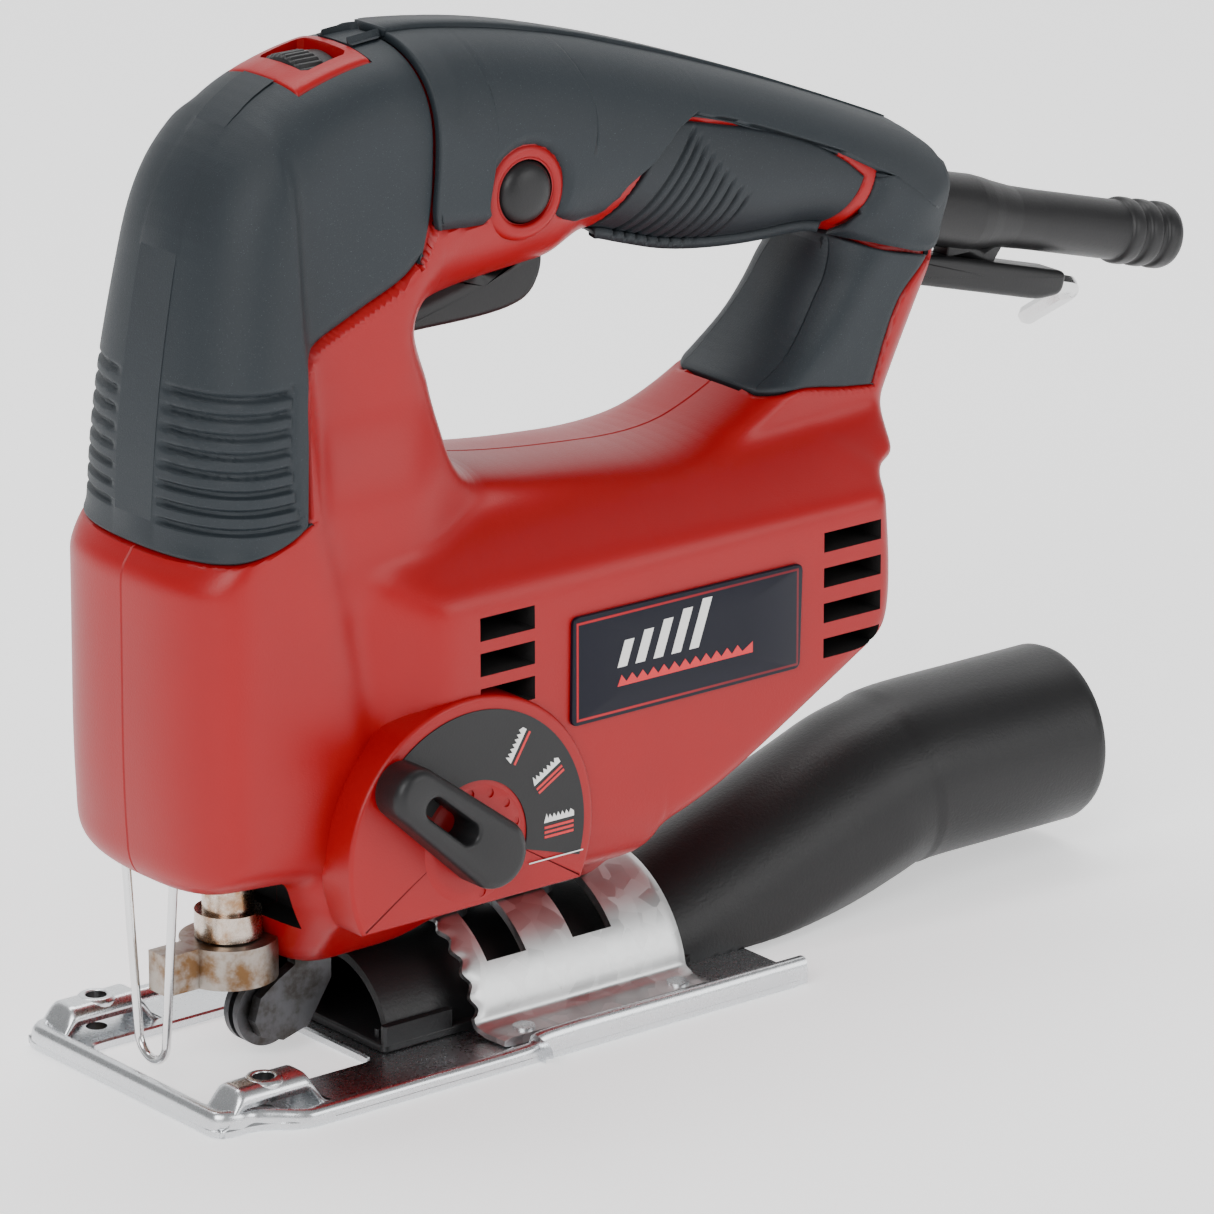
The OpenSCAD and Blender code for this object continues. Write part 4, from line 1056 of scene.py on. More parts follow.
def top_strip(x_start, x_end, half_y, count_u, count_v, lift):
    """Grid over the top of the casing between two places, out to +-half_y: at each place the outline is
    followed inward until the half width h reaches y."""
    line = piece_of(outer_line, x_start, x_end, count_u, OUTER_RUN > 0)
    tangent = unit(np.gradient(line, axis=0))
    inward = np.stack([tangent[:, 1], -tangent[:, 0]], 1) * OUTER_RUN
    depths = np.linspace(0, 9, 60)
    flat = line[:, None] + depths[None, :, None] * inward[:, None]
    h = height_at(flat.reshape(-1, 2)).reshape(flat.shape[:2])
    ys = np.linspace(-half_y, half_y, count_v)
    d = np.stack([np.interp(np.abs(ys), np.maximum.accumulate(row), depths) for row in h])
    xz = line[:, None] + (d - lift)[..., None] * inward[:, None]
    return np.stack([xz[..., 0], np.broadcast_to(ys, d.shape), xz[..., 1]], -1)


def plate_from(name, top, bottom, material, body):
    """A closed plate between two grids of the same shape."""
    return grid_object(name, closed_between(top, bottom), material, body, wrap_cols=True)


BEZEL_START, BEZEL_END = (-33.0, 193.0), (-15.5, 197.0)
iu, iv = np.linspace(-1, 1, 60)[:, None], np.linspace(-1, 1, 41)[None, :]
lift_edge = 0.75 * np.sqrt(np.clip(1 - np.maximum(np.abs(iu) ** 14, np.abs(iv) ** 14), 0, 1))
bezel_top = top_strip(BEZEL_START, BEZEL_END, bezel_half, 60, 41, lift_edge)
bezel_low = top_strip(BEZEL_START, BEZEL_END, bezel_half, 60, 41, -2.0)
bezel = plate_from("dial_bezel", bezel_top, bezel_low, [RED, PAINTED_SHADE], "housing")
WHEEL_MID = (WHEEL_LOW + WHEEL_HIGH) / 2
WHEEL_R = (WHEEL_HIGH[1] - WHEEL_LOW[1]) / 2
print("wheel centre", WHEEL_MID.round(1), "radius", WHEEL_R)


def slab_piece(name, outline, axis_low, axis_high, edge, place, material, body, steps=5):
    """A plate with rounded edges: the outline is drawn inward by a quarter circle at both faces. place
    turns (u, v, depth) into a point; the faces close on the outline's middle."""
    line = np.asarray(outline, float)
    tangent = unit(np.roll(line, -1, 0) - np.roll(line, 1, 0))
    inward = np.stack([-tangent[:, 1], tangent[:, 0]], 1) * turning(line)
    a = np.linspace(0, np.pi / 2, steps)
    centre = line.mean(0)
    rings, depths = [], []
    for k in a:
        rings.append(line + inward * edge * (1 - np.sin(k)))
        depths.append(axis_low + edge * (1 - np.cos(k)))
    for k in a[::-1]:
        rings.append(line + inward * edge * (1 - np.sin(k)))
        depths.append(axis_high - edge * (1 - np.cos(k)))
    rings = [np.repeat(centre[None], len(line), 0), 0.5 * rings[0] + 0.5 * centre] + rings
    depths = [axis_low, axis_low] + depths
    rings += [0.5 * rings[-1] + 0.5 * centre, np.repeat(centre[None], len(line), 0)]
    depths += [axis_high, axis_high]
    pts = np.stack([place(r[:, 0], r[:, 1], d) for r, d in zip(rings, depths)])
    return grid_object(name, pts, material, body, wrap_cols=True)


def on_side(y_face, side=-1):
    """Places outlines drawn in x and z at depths outward from a face of the casing."""
    return lambda u, v, d: np.stack([u, np.full_like(u, side * (y_face + d)), v], 1)


def prism(outline, low, high, place):
    """Straight prism as points and faces, for cutters, marks and small flat things."""
    line = np.asarray(outline, float)
    verts = np.vstack([place(line[:, 0], line[:, 1], low), place(line[:, 0], line[:, 1], high)])
    return verts.tolist(), prism_faces(len(line))


def flat_marks(name, outlines, low, high, place, material, body):
    """Printed marks, as one object of very thin prisms."""
    verts, faces = joined([prism(o, low, high, place) for o in outlines])
    obj = new_object(name, verts, faces, material, body, smooth=False)
    return weld(obj)


# %% Window of the bezel and the knurled wheel
cut(bezel, [box_shape((WHEEL_LOW[0] + 1.4, -7.3, 170), (WHEEL_HIGH[0] - 1.4, 7.3, 210), 1.0)], RED)
sharp_by_angle(bezel, 40)
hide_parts("dial_bezel")
bezel_room = plate_from("bezel_room", top_strip(BEZEL_START, BEZEL_END, bezel_half + 0.4, 60, 41, 6.0),
                        top_strip(BEZEL_START, BEZEL_END, bezel_half + 0.4, 60, 41, -4.0), RED, "housing")
subtract(nose_cover, bezel_room, tool_finish=False)
sharp_by_angle(nose_cover, 40)
half_wheel = (WHEEL_HIGH[0] - WHEEL_LOW[0]) / 2 - 1.6
wheel_profile = soften([(0.0, -half_wheel), (WHEEL_R - 0.9, -half_wheel), (WHEEL_R - 0.1, -half_wheel + 0.8),
                        (WHEEL_R - 0.1, 1.0), (WHEEL_R - 0.6, 1.2), (WHEEL_R - 0.6, half_wheel - 0.8),
                        (WHEEL_R - 1.3, half_wheel), (0.0, half_wheel)], 0.3)


def knurl(angle, height):
    """Fine ridges on the front two thirds of the rim; the rest stays plain for the numbers."""
    ridge = 0.45 * smoothstep(-0.3, 0.5, np.sin(46 * angle))
    return -ridge * smoothstep(1.2, 0.8, height) * smoothstep(-half_wheel + 0.2, -half_wheel + 0.9, height)


wheel = lathe("speed_wheel", wheel_profile, (WHEEL_MID[0], 0, WHEEL_MID[2]), (1, 0, 0), BLACK, "speed_dial",
              368, knurl)
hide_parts("speed_wheel")

# %% [markdown]
# ## Printed numbers
# The dial carries the steps 1 to 6. Each figure is a set of strokes on a small grid, laid on the plain
# band of the wheel, so that some step always shows in the window.

# %% Numbers on the wheel
STROKES = {  # seven strokes: top, upper right, lower right, bottom, lower left, upper left, middle
    1: (1, 2), 2: (0, 1, 6, 4, 3), 3: (0, 1, 6, 2, 3), 4: (5, 6, 1, 2), 5: (0, 5, 6, 2, 3),
    6: (0, 5, 6, 2, 3, 4)}
BARS = [((-1, 2), (1, 2)), ((1, 2), (1, 0)), ((1, 0), (1, -2)), ((-1, -2), (1, -2)), ((-1, 0), (-1, -2)),
        ((-1, 2), (-1, 0)), ((-1, 0), (1, 0))]


def ink(name, dark, light):
    """Printing ink that varies a little between two shades."""
    m = Material(name)
    grain = m.noise(2500, 2.0)
    return m.finish(color=m.mix(grain, dark, light), rough=0.4 + 0.1 * grain)


WHITE = ink("white_print", (0.72, 0.72, 0.70), (0.82, 0.82, 0.80))
RED_PRINT = ink("red_print", (0.55, 0.008, 0.012), (0.66, 0.012, 0.02))


def stroke(a, b, half):
    """A bar of a given half width between two points."""
    a, b = np.array(a, float), np.array(b, float)
    t = unit(b - a)
    n = np.array([-t[1], t[0]]) * half
    return [a - t * half + n, a - t * half - n, b + t * half - n, b + t * half + n]


number_shapes = []
for step in range(1, 7):
    turn = math.radians(18 + 60 * (step - 1))

    def on_rim(u, v, d, turn=turn):
        """Wraps a figure onto the wheel's rim: v becomes an angle and d a height above it."""
        a = turn + v / WHEEL_R
        r = WHEEL_R - 0.62 + d
        return np.stack([WHEEL_MID[0] + 2.05 + u, r * np.sin(a), WHEEL_MID[2] + r * np.cos(a)], 1)
    for k in STROKES[step]:
        a, b = (np.array(p) * (0.42, 0.55) for p in BARS[k])
        number_shapes.append(prism(stroke(a, b, 0.17), -0.05, 0.06, on_rim))
verts, faces = joined(number_shapes)
weld(new_object("dial_numbers", verts, faces, WHITE, "speed_dial", smooth=False))
print("number strokes:", len(number_shapes))

# %% [markdown]
# ## Lock button and its ring
# A raised red ring stands round a domed black button on the side of the handle. Both are turned about the
# axis across the tool.

# %% Lock button and ring
ring_face = HANDLE_HALF - 0.6
ring_profile = soften([(6.35, -4.5), (6.35, 0.7), (7.0, 1.35), (8.4, 1.35), (9.6, 0.2), (9.7, -4.5)], 0.9, 6)
lock_side = -1 if LOCK_LOW[1] < 0 else 1
ring_profile = np.vstack([ring_profile, ring_profile[:1]])
lock_ring = lathe("lock_ring", ring_profile, (LOCK_X, lock_side * ring_face, LOCK_Z), (0, lock_side, 0), RED,
                  "housing", 96)
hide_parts("lock_ring")
dome = [(0.0, 3.0), (1.5, 2.95), (3.0, 2.75), (4.4, 2.3), (5.4, 1.6), (5.95, 0.7), (6.0, 0.0), (6.0, -3.8),
        (0.0, -3.8)]
button = lathe("lock_button", spline(dome[:8], 4).tolist() + [dome[8]],
               (LOCK_X, lock_side * ring_face, LOCK_Z),
               (0, lock_side, 0), BLACK, "lock_key", 72)
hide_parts("lock_button")

# %% [markdown]
# ## Trigger
# The key under the handle is a long plate with a rolled lower front; it slides up into the casing.

# %% Trigger
tx0, tx1, tz0, tz1 = TRIG_LOW[0], TRIG_HIGH[0], TRIG_LOW[2], TRIG_HIGH[2] + 3
trigger_line = rounded([(tx0, tz1, 0.6), (tx0, tz0, 2.0), (18, tz0 - 0.1, 10), (26, tz0 + 1.9, 3),
                        (tx1, tz0 + 7, 2.5),
                        (tx1, tz1, 0.6)], 7)
trigger = slab_piece("trigger", trigger_line, TRIG_LOW[1], TRIG_HIGH[1], 1.7,
                     lambda u, v, d: np.stack([u, np.full_like(u, d), v], 1), BLACK, "trigger_key",
                     7)
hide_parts("trigger")

# %% [markdown]
# ## Selector: boss, printed quadrant, hub and lever
# The pendulum selector turns on a round boss. The printed ring on it shows a blade over one, two or three
# lines. The lever is a closed ring of material with a long slot through it.

# %% Selector
DECAL_HIGH = node_box("selector_decal")[1]
LEVER_LOW, LEVER_HIGH = node_box("selector_lever")
SHAFT_LOW, SHAFT_HIGH = node_box("selector_shaft")
SEL_X, SEL_Z = ((SHAFT_LOW + SHAFT_HIGH) / 2)[[0, 2]]
BOSS_R, BOSS_CUT, BOSS_Y = 29.0, 33.6, 33.7


def boss_outline(r, low):
    """Circle of the boss, flattened where it meets the level low."""
    a = np.linspace(0, 2 * np.pi, 180, endpoint=False)
    line = np.stack([SEL_X + r * np.cos(a), SEL_Z + r * np.sin(a)], 1)
    line[:, 1] = np.maximum(line[:, 1], low)
    return line


slab_piece("selector_boss", boss_outline(BOSS_R, BOSS_CUT), 24.0, BOSS_Y, 0.9, on_side(0.0), RED,
           "housing", 6)
DECAL_R0, DECAL_R1 = 12.6, DECAL_HIGH[0] - SEL_X - 0.6


def ring_sector(r0, r1, a0, a1, count=60):
    """Outline between two radii and two angles round the selector's centre."""
    a = np.radians(np.linspace(a0, a1, count))
    out = np.stack([SEL_X + r1 * np.cos(a), SEL_Z + r1 * np.sin(a)], 1)
    back = np.stack([SEL_X + r0 * np.cos(a[::-1]), SEL_Z + r0 * np.sin(a[::-1])], 1)
    return np.vstack([out, back])


decal_line = ring_sector(DECAL_R0, DECAL_R1, -17, 143)
decal = flat_marks("selector_decal", [decal_line], -0.3, 0.30, on_side(BOSS_Y), BLACK, "housing")
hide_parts("selector_decal")


def blade_icon(angle, turn, radius, lines):
    """A saw blade over a number of lines, drawn at an angle on the ring and turned to face outward."""
    a = math.radians(angle)
    centre = np.array([SEL_X + radius * math.cos(a), SEL_Z + radius * math.sin(a)])
    turn = math.radians(turn)
    along_dir, up_dir = np.array([math.cos(turn), math.sin(turn)]), np.array([-math.sin(turn),
                                                                              math.cos(turn)])

    def put(points):
        """Points of the icon on the casing."""
        return np.array([centre + p[0] * along_dir + p[1] * up_dir for p in points])
    teeth = [(-3.6, 0.5), (-3.0, 2.3)]
    for k in range(6):
        teeth += [(-2.6 + 1.0 * k, 1.2), (-2.2 + 1.0 * k, 2.1)]
    teeth += [(3.6, 1.5), (3.6, 0.5)]
    marks = [put(teeth)]
    bars = [put([(-3.5, -0.25 - 0.95 * k), (3.5, -0.25 - 0.95 * k), (3.5, -0.75 - 0.95 * k),
                 (-3.5, -0.75 - 0.95 * k)])
            for k in range(lines)]
    return marks, bars


white_marks, red_marks = [], []
for angle, turn, lines in ((57, 58, 1), (29, 30, 2), (0, 0, 3)):
    marks, bars = blade_icon(angle, turn, 20.3, lines)
    white_marks += marks
    red_marks += bars
white_marks.append(stroke((SEL_X + 13.2, SEL_Z - 6.9), (SEL_X + 26.0, SEL_Z - 6.9), 0.12))
flat_marks("selector_marks", white_marks, 0.28, 0.36, on_side(BOSS_Y), WHITE, "housing")
flat_marks("selector_lines", red_marks, 0.28, 0.36, on_side(BOSS_Y), RED_PRINT, "housing")
hub_profile = soften([(0.0, 0.0), (9.8, 0.0), (12.0, -0.55), (12.2, -4.0)], 0.5)
hub = lathe("selector_hub", np.vstack([hub_profile, [(0.0, -4.0)]]), (SEL_X, -BOSS_Y - 0.45, SEL_Z),
            (0, -1, 0), RED,
            "housing", 72)
DIMPLE_RING, DIMPLE_R = 10.2, 0.9
dimples = []
for t in np.radians([95, 68, 41, 14, -13, -60, -80]).tolist():
    middle = (SEL_X + DIMPLE_RING * math.cos(t), -BOSS_Y - 2, SEL_Z + DIMPLE_RING * math.sin(t))
    dimples.append(rod_shape(middle, (0, 1, 0), DIMPLE_R, 0, 2.4, 24))
cut(hub, dimples, RED)
sharp_by_angle(hub, 45)

LEVER_ANGLE = math.radians(140)
LEVER_LONG, LEVER_Y0, LEVER_Y1 = 24.0, -LEVER_HIGH[1], -LEVER_LOW[1]
lever_dir = np.array([math.cos(LEVER_ANGLE), math.sin(LEVER_ANGLE)])
lever_side = np.array([-lever_dir[1], lever_dir[0]])


def stadium(a, b, ra, rb, count=96):
    """Outline round two circles on the lever's line, as seen along Y; evenly spread by angle."""
    q = np.linspace(0, 2 * np.pi, count, endpoint=False)
    x = np.where(np.cos(q) >= 0, b + rb * np.cos(q), a + ra * np.cos(q))
    y = np.where(np.cos(q) >= 0, rb, ra) * np.sin(q)
    return np.stack([x, y], 1)


def lever_place(line, depth):
    """Outline drawn along and across the lever, put in its place at a depth."""
    xz = np.array([SEL_X, SEL_Z]) + line[:, :1] * lever_dir + line[:, 1:] * lever_side
    return np.stack([xz[:, 0], np.full(len(xz), -depth), xz[:, 1]], 1)


rows = []
LEVER_EDGE = 2.2
for k in np.linspace(0, np.pi / 2, 8):
    inset = LEVER_EDGE * (1 - np.cos(k))
    rows.append((stadium(0, LEVER_LONG, 6.9 - inset, 5.6 - inset), LEVER_Y1 - LEVER_EDGE * (1 - np.sin(k))))
rows = [(stadium(0, LEVER_LONG, 6.4, 5.2), LEVER_Y0),
        (stadium(0, LEVER_LONG, 6.9, 5.6), LEVER_Y0 + 0.5)] + rows
for inset, depth in ((0.9, LEVER_Y1), (0.3, LEVER_Y1 - 0.15), (0.0, LEVER_Y1 - 0.7), (0.0, LEVER_Y0)):
    rows.append((stadium(9.5, 19.8, 2.2 + inset, 2.2 + inset), depth))
lever = grid_object("selector_lever", np.stack([lever_place(line, d) for line, d in rows]), BLACK, "selector",
                    wrap_rows=True, wrap_cols=True)
sharp_by_angle(lever, 50)
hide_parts("selector_lever")
print("selector centre", round(float(SEL_X), 1), round(float(SEL_Z), 1))

# %% [markdown]
# ## Rating label
# A dark plate on both sides with a thin red frame. The mark on it is plain: a row of slanted bars over a
# saw-toothed line.

# %% Labels
LABEL_LOW, LABEL_HIGH = node_box("label_left")


def label_finish():
    """Dark film with a thin red frame, which fades to the rear: the frame is where the distance to the
    nearest edge lies between two values."""
    m = Material("label_film")
    x, _, z = m.axes()
    edge_x = (x - (LABEL_LOW[0] + LABEL_HIGH[0]) / 2).abs()
    edge_z = (z - (LABEL_LOW[2] + LABEL_HIGH[2]) / 2).abs()
    half_x, half_z = (LABEL_HIGH[0] - LABEL_LOW[0]) / 2, (LABEL_HIGH[2] - LABEL_LOW[2]) / 2
    inset = (half_x - edge_x).least(half_z - edge_z)
    frame_line = inset.step(1.0, 1.25) * (1.0 - inset.step(1.45, 1.7))
    fade = x.step(20.0, 62.0)
    grain = m.noise(2200, 2.0)
    colour = m.mix(frame_line * (0.35 + 0.65 * (1.0 - fade)),
                   m.mix(grain, (0.0016, 0.002, 0.008), (0.003, 0.004, 0.012)),
                   (0.42, 0.012, 0.018))
    return m.finish(color=colour, rough=0.34 + 0.08 * grain, specular=0.22)


LABEL_FILM = label_finish()
for node_name, side in (("label_left", -1), ("label_right", 1)):
    x0, z0, x1, z1 = LABEL_LOW[0], LABEL_LOW[2], LABEL_HIGH[0], LABEL_HIGH[2]
    line = rounded([(x0, z0 + 0.3, 1.6), (x0 + 0.4, z1, 1.6), (x1, z1 - 0.4, 1.6), (x1 - 0.6, z0 + 0.4, 1.6)],
                   9)
    plate = slab_piece(node_name, line, BODY_HALF - 0.6, BODY_HALF + 0.42, 0.25, on_side(0.0, side),
                       LABEL_FILM, "housing",
                       3)
    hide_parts(node_name)
    bars, teeth = [], []
    for k in range(5):
        bx, tall = 26 + 4.4 * k, 5.2 + 1.1 * k
        bars.append([(bx, 74.0), (bx + 2.3, 74.0), (bx + 2.3 + tall * 0.35, 74 + tall),
                     (bx + tall * 0.35, 74 + tall)])
    saw = [(26, 70.2)]
    for k in range(12):
        saw += [(27 + 2.6 * k, 72.4), (28.2 + 2.6 * k, 70.9)]
    saw += [(59.4, 72.4), (59.4, 70.2)]
    mirror = (lambda line: line) if side < 0 else (lambda line: [(x0 + x1 - p[0], p[1]) for p in line])
    flat_marks(node_name + "_bars", [mirror(b) for b in bars], 0.41, 0.47, on_side(BODY_HALF, side), WHITE,
               "housing")
    flat_marks(node_name + "_saw", [mirror(saw)], 0.41, 0.47, on_side(BODY_HALF, side), RED_PRINT, "housing")
print("labels on both sides")

# %% [markdown]
# ## Dust adapter
# A half-round duct runs back under the bracket, rises behind it, and ends in a round hose port. Its
# sections stand square to a bent path; below the level of the plate they are pressed flat. Outer and
# inner skins are one closed grid.

# %% Dust adapter
DUCT_LOW, DUCT_HIGH = node_box("dust_adapter")
PORT_Z, PORT_X = 22.0, DUCT_HIGH[0]
PORT_R = DUCT_HIGH[2] - PORT_Z
DUCT_R, DUCT_WALL = 17.9, 1.8
duct_path = spline([(-17, 0), (5, 0), (30, 0), (46, 0.1), (57, 1.2), (70, 4.9), (88, 10.9), (106, 17),
                    (116, 20.2),
                    (123, 21.6), (130, PORT_Z), (145, PORT_Z), (PORT_X, PORT_Z)], 14)
duct_path = along(duct_path, np.linspace(0, 1, 150))
duct_path[-1] = (PORT_X, PORT_Z)


def duct_skin(less, floor_level, count=112):
    """Sections of the duct: radius grows to that of the port, a small step marks where the port begins, and
    a keel line runs under the rising part."""
    x, z = duct_path.T
    tangent = unit(np.gradient(duct_path, axis=0))
    a = np.linspace(0, 2 * np.pi, count, endpoint=False)[None, :]
    r = DUCT_R + (PORT_R - DUCT_R) * smoothstep(100, 122, x)
    r = r - 0.35 * smoothstep(112, 121, x) * smoothstep(122.2, 121.6, x)
    r = r - less
    r = r - 0.5 * smoothstep(PORT_X - 1.0, PORT_X, x) * (less == 0)
    rising = smoothstep(52, 78, x) * smoothstep(124, 104, x)
    keel = 1 + 0.055 * rising[:, None] * np.exp(-((np.cos(a) + 0.35) / 0.25) ** 2)
    up = r[:, None] * np.cos(a) * (1 + 0.02 * rising[:, None])
    side = r[:, None] * np.sin(a) * keel
    side = np.clip(side, -PORT_R - 0.4, PORT_R + 0.4)
    px = x[:, None] - up * tangent[:, 1][:, None]
    pz = z[:, None] + up * tangent[:, 0][:, None]
    under = pz < floor_level
    pz = soft_max(pz, floor_level, 0.9)
    px = np.where(under, np.maximum(px, -17), px)
    return np.stack([px, side, pz], -1)


skin_out = duct_skin(0.0, 2.0)
skin_in = duct_skin(DUCT_WALL, 3.6)
skin_out[-1, :, 0] = PORT_X
skin_in[-1, :, 0] = PORT_X
duct = grid_object("dust_adapter", np.concatenate([skin_out, skin_in[::-1]]), DUCT_BLACK, "shoe",
                   wrap_rows=True, wrap_cols=True)
sharp_by_angle(duct, 40)
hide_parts("dust_adapter")
foot_line = rounded([(DUCT_LOW[0], -19.6, 2.0), (56, -19.6, 6), (62, -12, 6), (62, 12, 6), (56, 19.6, 6),
                     (DUCT_LOW[0], 19.6, 2.0)], 7)
slab_piece("duct_foot", foot_line, 2.02, 3.9, 0.5, lambda u, v, d: np.stack([u, v, np.full_like(u, d)], 1),
           DUCT_BLACK, "shoe")
ribs = []
for side in (-1, 1):
    ribs.append(box_shape((DUCT_LOW[0] + 0.4, side * 18.6 - 0.9, 3.4), (-3.0, side * 18.6 + 0.9, 7.4), 0.5))
    ribs.append(box_shape((DUCT_LOW[0] + 1.5, side * 15.0 - 0.6, 3.4), (-8.0, side * 15.0 + 0.6, 5.6), 0.3))
verts, faces = joined(ribs)
weld(new_object("duct_ribs", verts, faces, DUCT_BLACK, "shoe", smooth=False))
print("duct sections:", len(duct_path))

# %% [markdown]
# ## Cord sleeve, key clip and hex key
# The sleeve is turned: a socket, a cone, a plain neck and three rings at its open end. The clip below
# holds the bent key. The cord itself isn't part of the model.

# %% Sleeve and key
SLEEVE_DROP = math.radians(15)
sleeve_axis = np.array([math.cos(SLEEVE_DROP), 0, -math.sin(SLEEVE_DROP)])
sleeve_down = np.array([-math.sin(SLEEVE_DROP), 0, -math.cos(SLEEVE_DROP)])
SLEEVE_AT = np.array([139.0, 0, 137.5])
SLEEVE_LEN = 58.0
sleeve_profile = [(3.8, -26), (7.3, -26), (7.5, -8), (7.6, 2.0), (7.3, 5.0), (6.9, 7.5), (6.3, 13.0),
                  (6.15, 20),
                  (6.15, 43.4)]
for k in range(3):
    base = SLEEVE_LEN - 14 + 5 * k
    sleeve_profile += [(6.15, base - 0.4), (6.75, base), (6.9, base + 0.7), (6.9, base + 2.3),
                       (6.75, base + 3.0),
                       (6.15, base + 3.4)]
sleeve_profile = sleeve_profile[:-1] + [(6.4, SLEEVE_LEN - 0.1), (5.2, SLEEVE_LEN), (3.7, SLEEVE_LEN - 0.3),
                                        (3.5, SLEEVE_LEN - 4), (3.5, SLEEVE_LEN - 40), (3.8, -26)]


def facets(angle, height):
    """Flat strips moulded along the plain neck."""
    return -0.22 * (0.5 - 0.5 * np.cos(4 * angle)) * smoothstep(10, 16, height) * smoothstep(44, 40, height)


sleeve = lathe("cord_sleeve", soften(sleeve_profile, 0.35, 4), SLEEVE_AT, sleeve_axis, BLACK, "housing",
               96,
               facets)
sharp_by_angle(sleeve, 60)
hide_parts("cord_sleeve")


def from_sleeve(down, y, run):
    """Points given by distance below the sleeve's axis, across, and along it."""
    return SLEEVE_AT + np.multiply.outer(down, sleeve_down) + np.multiply.outer(run,
                                                                                sleeve_axis) + np.multiply.outer(
        y, [0, 1.0, 0])


CLIP_X = 12.3
clip_line = rounded([(CLIP_X - 3.0, -14, 1.2), (CLIP_X + 3.0, -14, 1.6), (CLIP_X + 3.2, 24, 2.2),
                     (CLIP_X + 1.5, 30, 2.0),
                     (CLIP_X - 3.2, 30, 1.6), (CLIP_X - 3.4, 0, 2.0)], 6)
clip = slab_piece("key_clip", clip_line, -4.4, 4.4, 1.3,
                  lambda u, v, d: from_sleeve(u, np.full_like(u, d), v), BLACK, "housing", 6)
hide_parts("key_clip")
web_line = rounded([(5.0, -2, 0.5), (CLIP_X - 2.6, -2, 0.5), (CLIP_X - 2.6, 11, 0.5), (5.0, 13, 0.5)], 4)
slab_piece("clip_web", web_line, -2.3, 2.3, 0.6, lambda u, v, d: from_sleeve(u, np.full_like(u, d), v), BLACK,
           "housing")
key_points = np.array([(CLIP_X, 0, 4), (CLIP_X, 0, 20), (CLIP_X, 0, 33), (CLIP_X + 0.35, 0.5, 35.7),
                       (CLIP_X + 1.6, 2.2, 37.0), (CLIP_X + 4.5, 6.2, 37.0), (CLIP_X + 9.0, 12.4, 37.0)])
key_path = along(spline(key_points, 10), np.linspace(0, 1, 60))
key_line = from_sleeve(key_path[:, 0], key_path[:, 1], key_path[:, 2])
hex_key = tube("hex_key", key_line, 2.0, CHROME, "housing", 6)
sharp_by_angle(hex_key, 30)
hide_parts("hex_key")

# %% [markdown]
# ## Guard wire
# A bright bow in front of the blade: two legs that lean together, joined by a half circle.

# %% Guard wire
GUARD_LOW, GUARD_HIGH = node_box("wire_guard")
GUARD_X = (GUARD_LOW[0] + GUARD_HIGH[0]) / 2
bow = [(GUARD_X, 4.5 * math.sin(t), 9.5 - 4.5 * math.cos(t)) for t in np.linspace(-np.pi / 2, np.pi / 2, 15)]
legs = [(GUARD_X, -8.6, 52.5), (GUARD_X, -7.6, 42), (GUARD_X, -5.6, 21)]
wire_line = spline(legs + bow + [(x, -y, z) for x, y, z in legs[::-1]], 8)
guard = tube("wire_guard", along(wire_line, np.linspace(0, 1, 160)), 0.88, CHROME, "housing",
             18)
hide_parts("wire_guard")

# %% [markdown]
# ## Base plate
# A pressed plate: its outline and its window are the two rims of a ring-shaped grid. A rail is rolled up
# along each side and across the front, and two bridges rise at the front with the fence screw holes.

# %% Base plate
PLATE_LOW, PLATE_HIGH = node_box("base_plate")
px0, px1, py1 = PLATE_LOW[0], PLATE_HIGH[0], PLATE_HIGH[1]
NOSE_Y, STEP_X, PLATE_T = 32.0, -52.0, 2.0
WINDOW = (px0 + 7, -23.0, 20.0)


def plate_rim(inset):
    """Outline of the plate drawn in by an inset."""
    return rounded([(px0 + inset, NOSE_Y - inset, 4), (STEP_X - 6, NOSE_Y - inset, 6),
                    (STEP_X, py1 - inset, 6),
                    (px1 - inset, py1 - inset, 2.5), (px1 - inset, -py1 + inset, 2.5),
                    (STEP_X, -py1 + inset, 6),
                    (STEP_X - 6, -NOSE_Y + inset, 6), (px0 + inset, -NOSE_Y + inset, 4)], 10)


def window_rim(inset):
    """Outline of the blade window, drawn into the plate by an inset."""
    x0, x1, y1 = WINDOW
    return rounded([(x0 - inset, y1 + inset, 3), (x1 + inset, y1 + inset, 3), (x1 + inset, -y1 - inset, 3),
                    (x0 - inset, -y1 - inset, 3)], 10)


def by_angle(line, centre, count):
    """A loop resampled so that its points face evenly spread shares, starting to the rear of a centre."""
    start = np.argmin(np.abs(np.arctan2(line[:, 1] - centre[1], line[:, 0] - centre[0])))
    line = np.roll(line, -start, 0)
    if turning(line) < 0:
        line = np.roll(line[::-1], 1, 0)
    angle = np.unwrap(np.arctan2(line[:, 1] - centre[1], line[:, 0] - centre[0]))
    goal = np.linspace(0, 2 * np.pi, count, endpoint=False)
    closed = np.vstack([line, line[:1]])
    angle = np.append(angle, angle[0] + 2 * np.pi)
    return np.stack([np.interp(goal, angle - angle[0], closed[:, k]) for k in range(2)], 1)


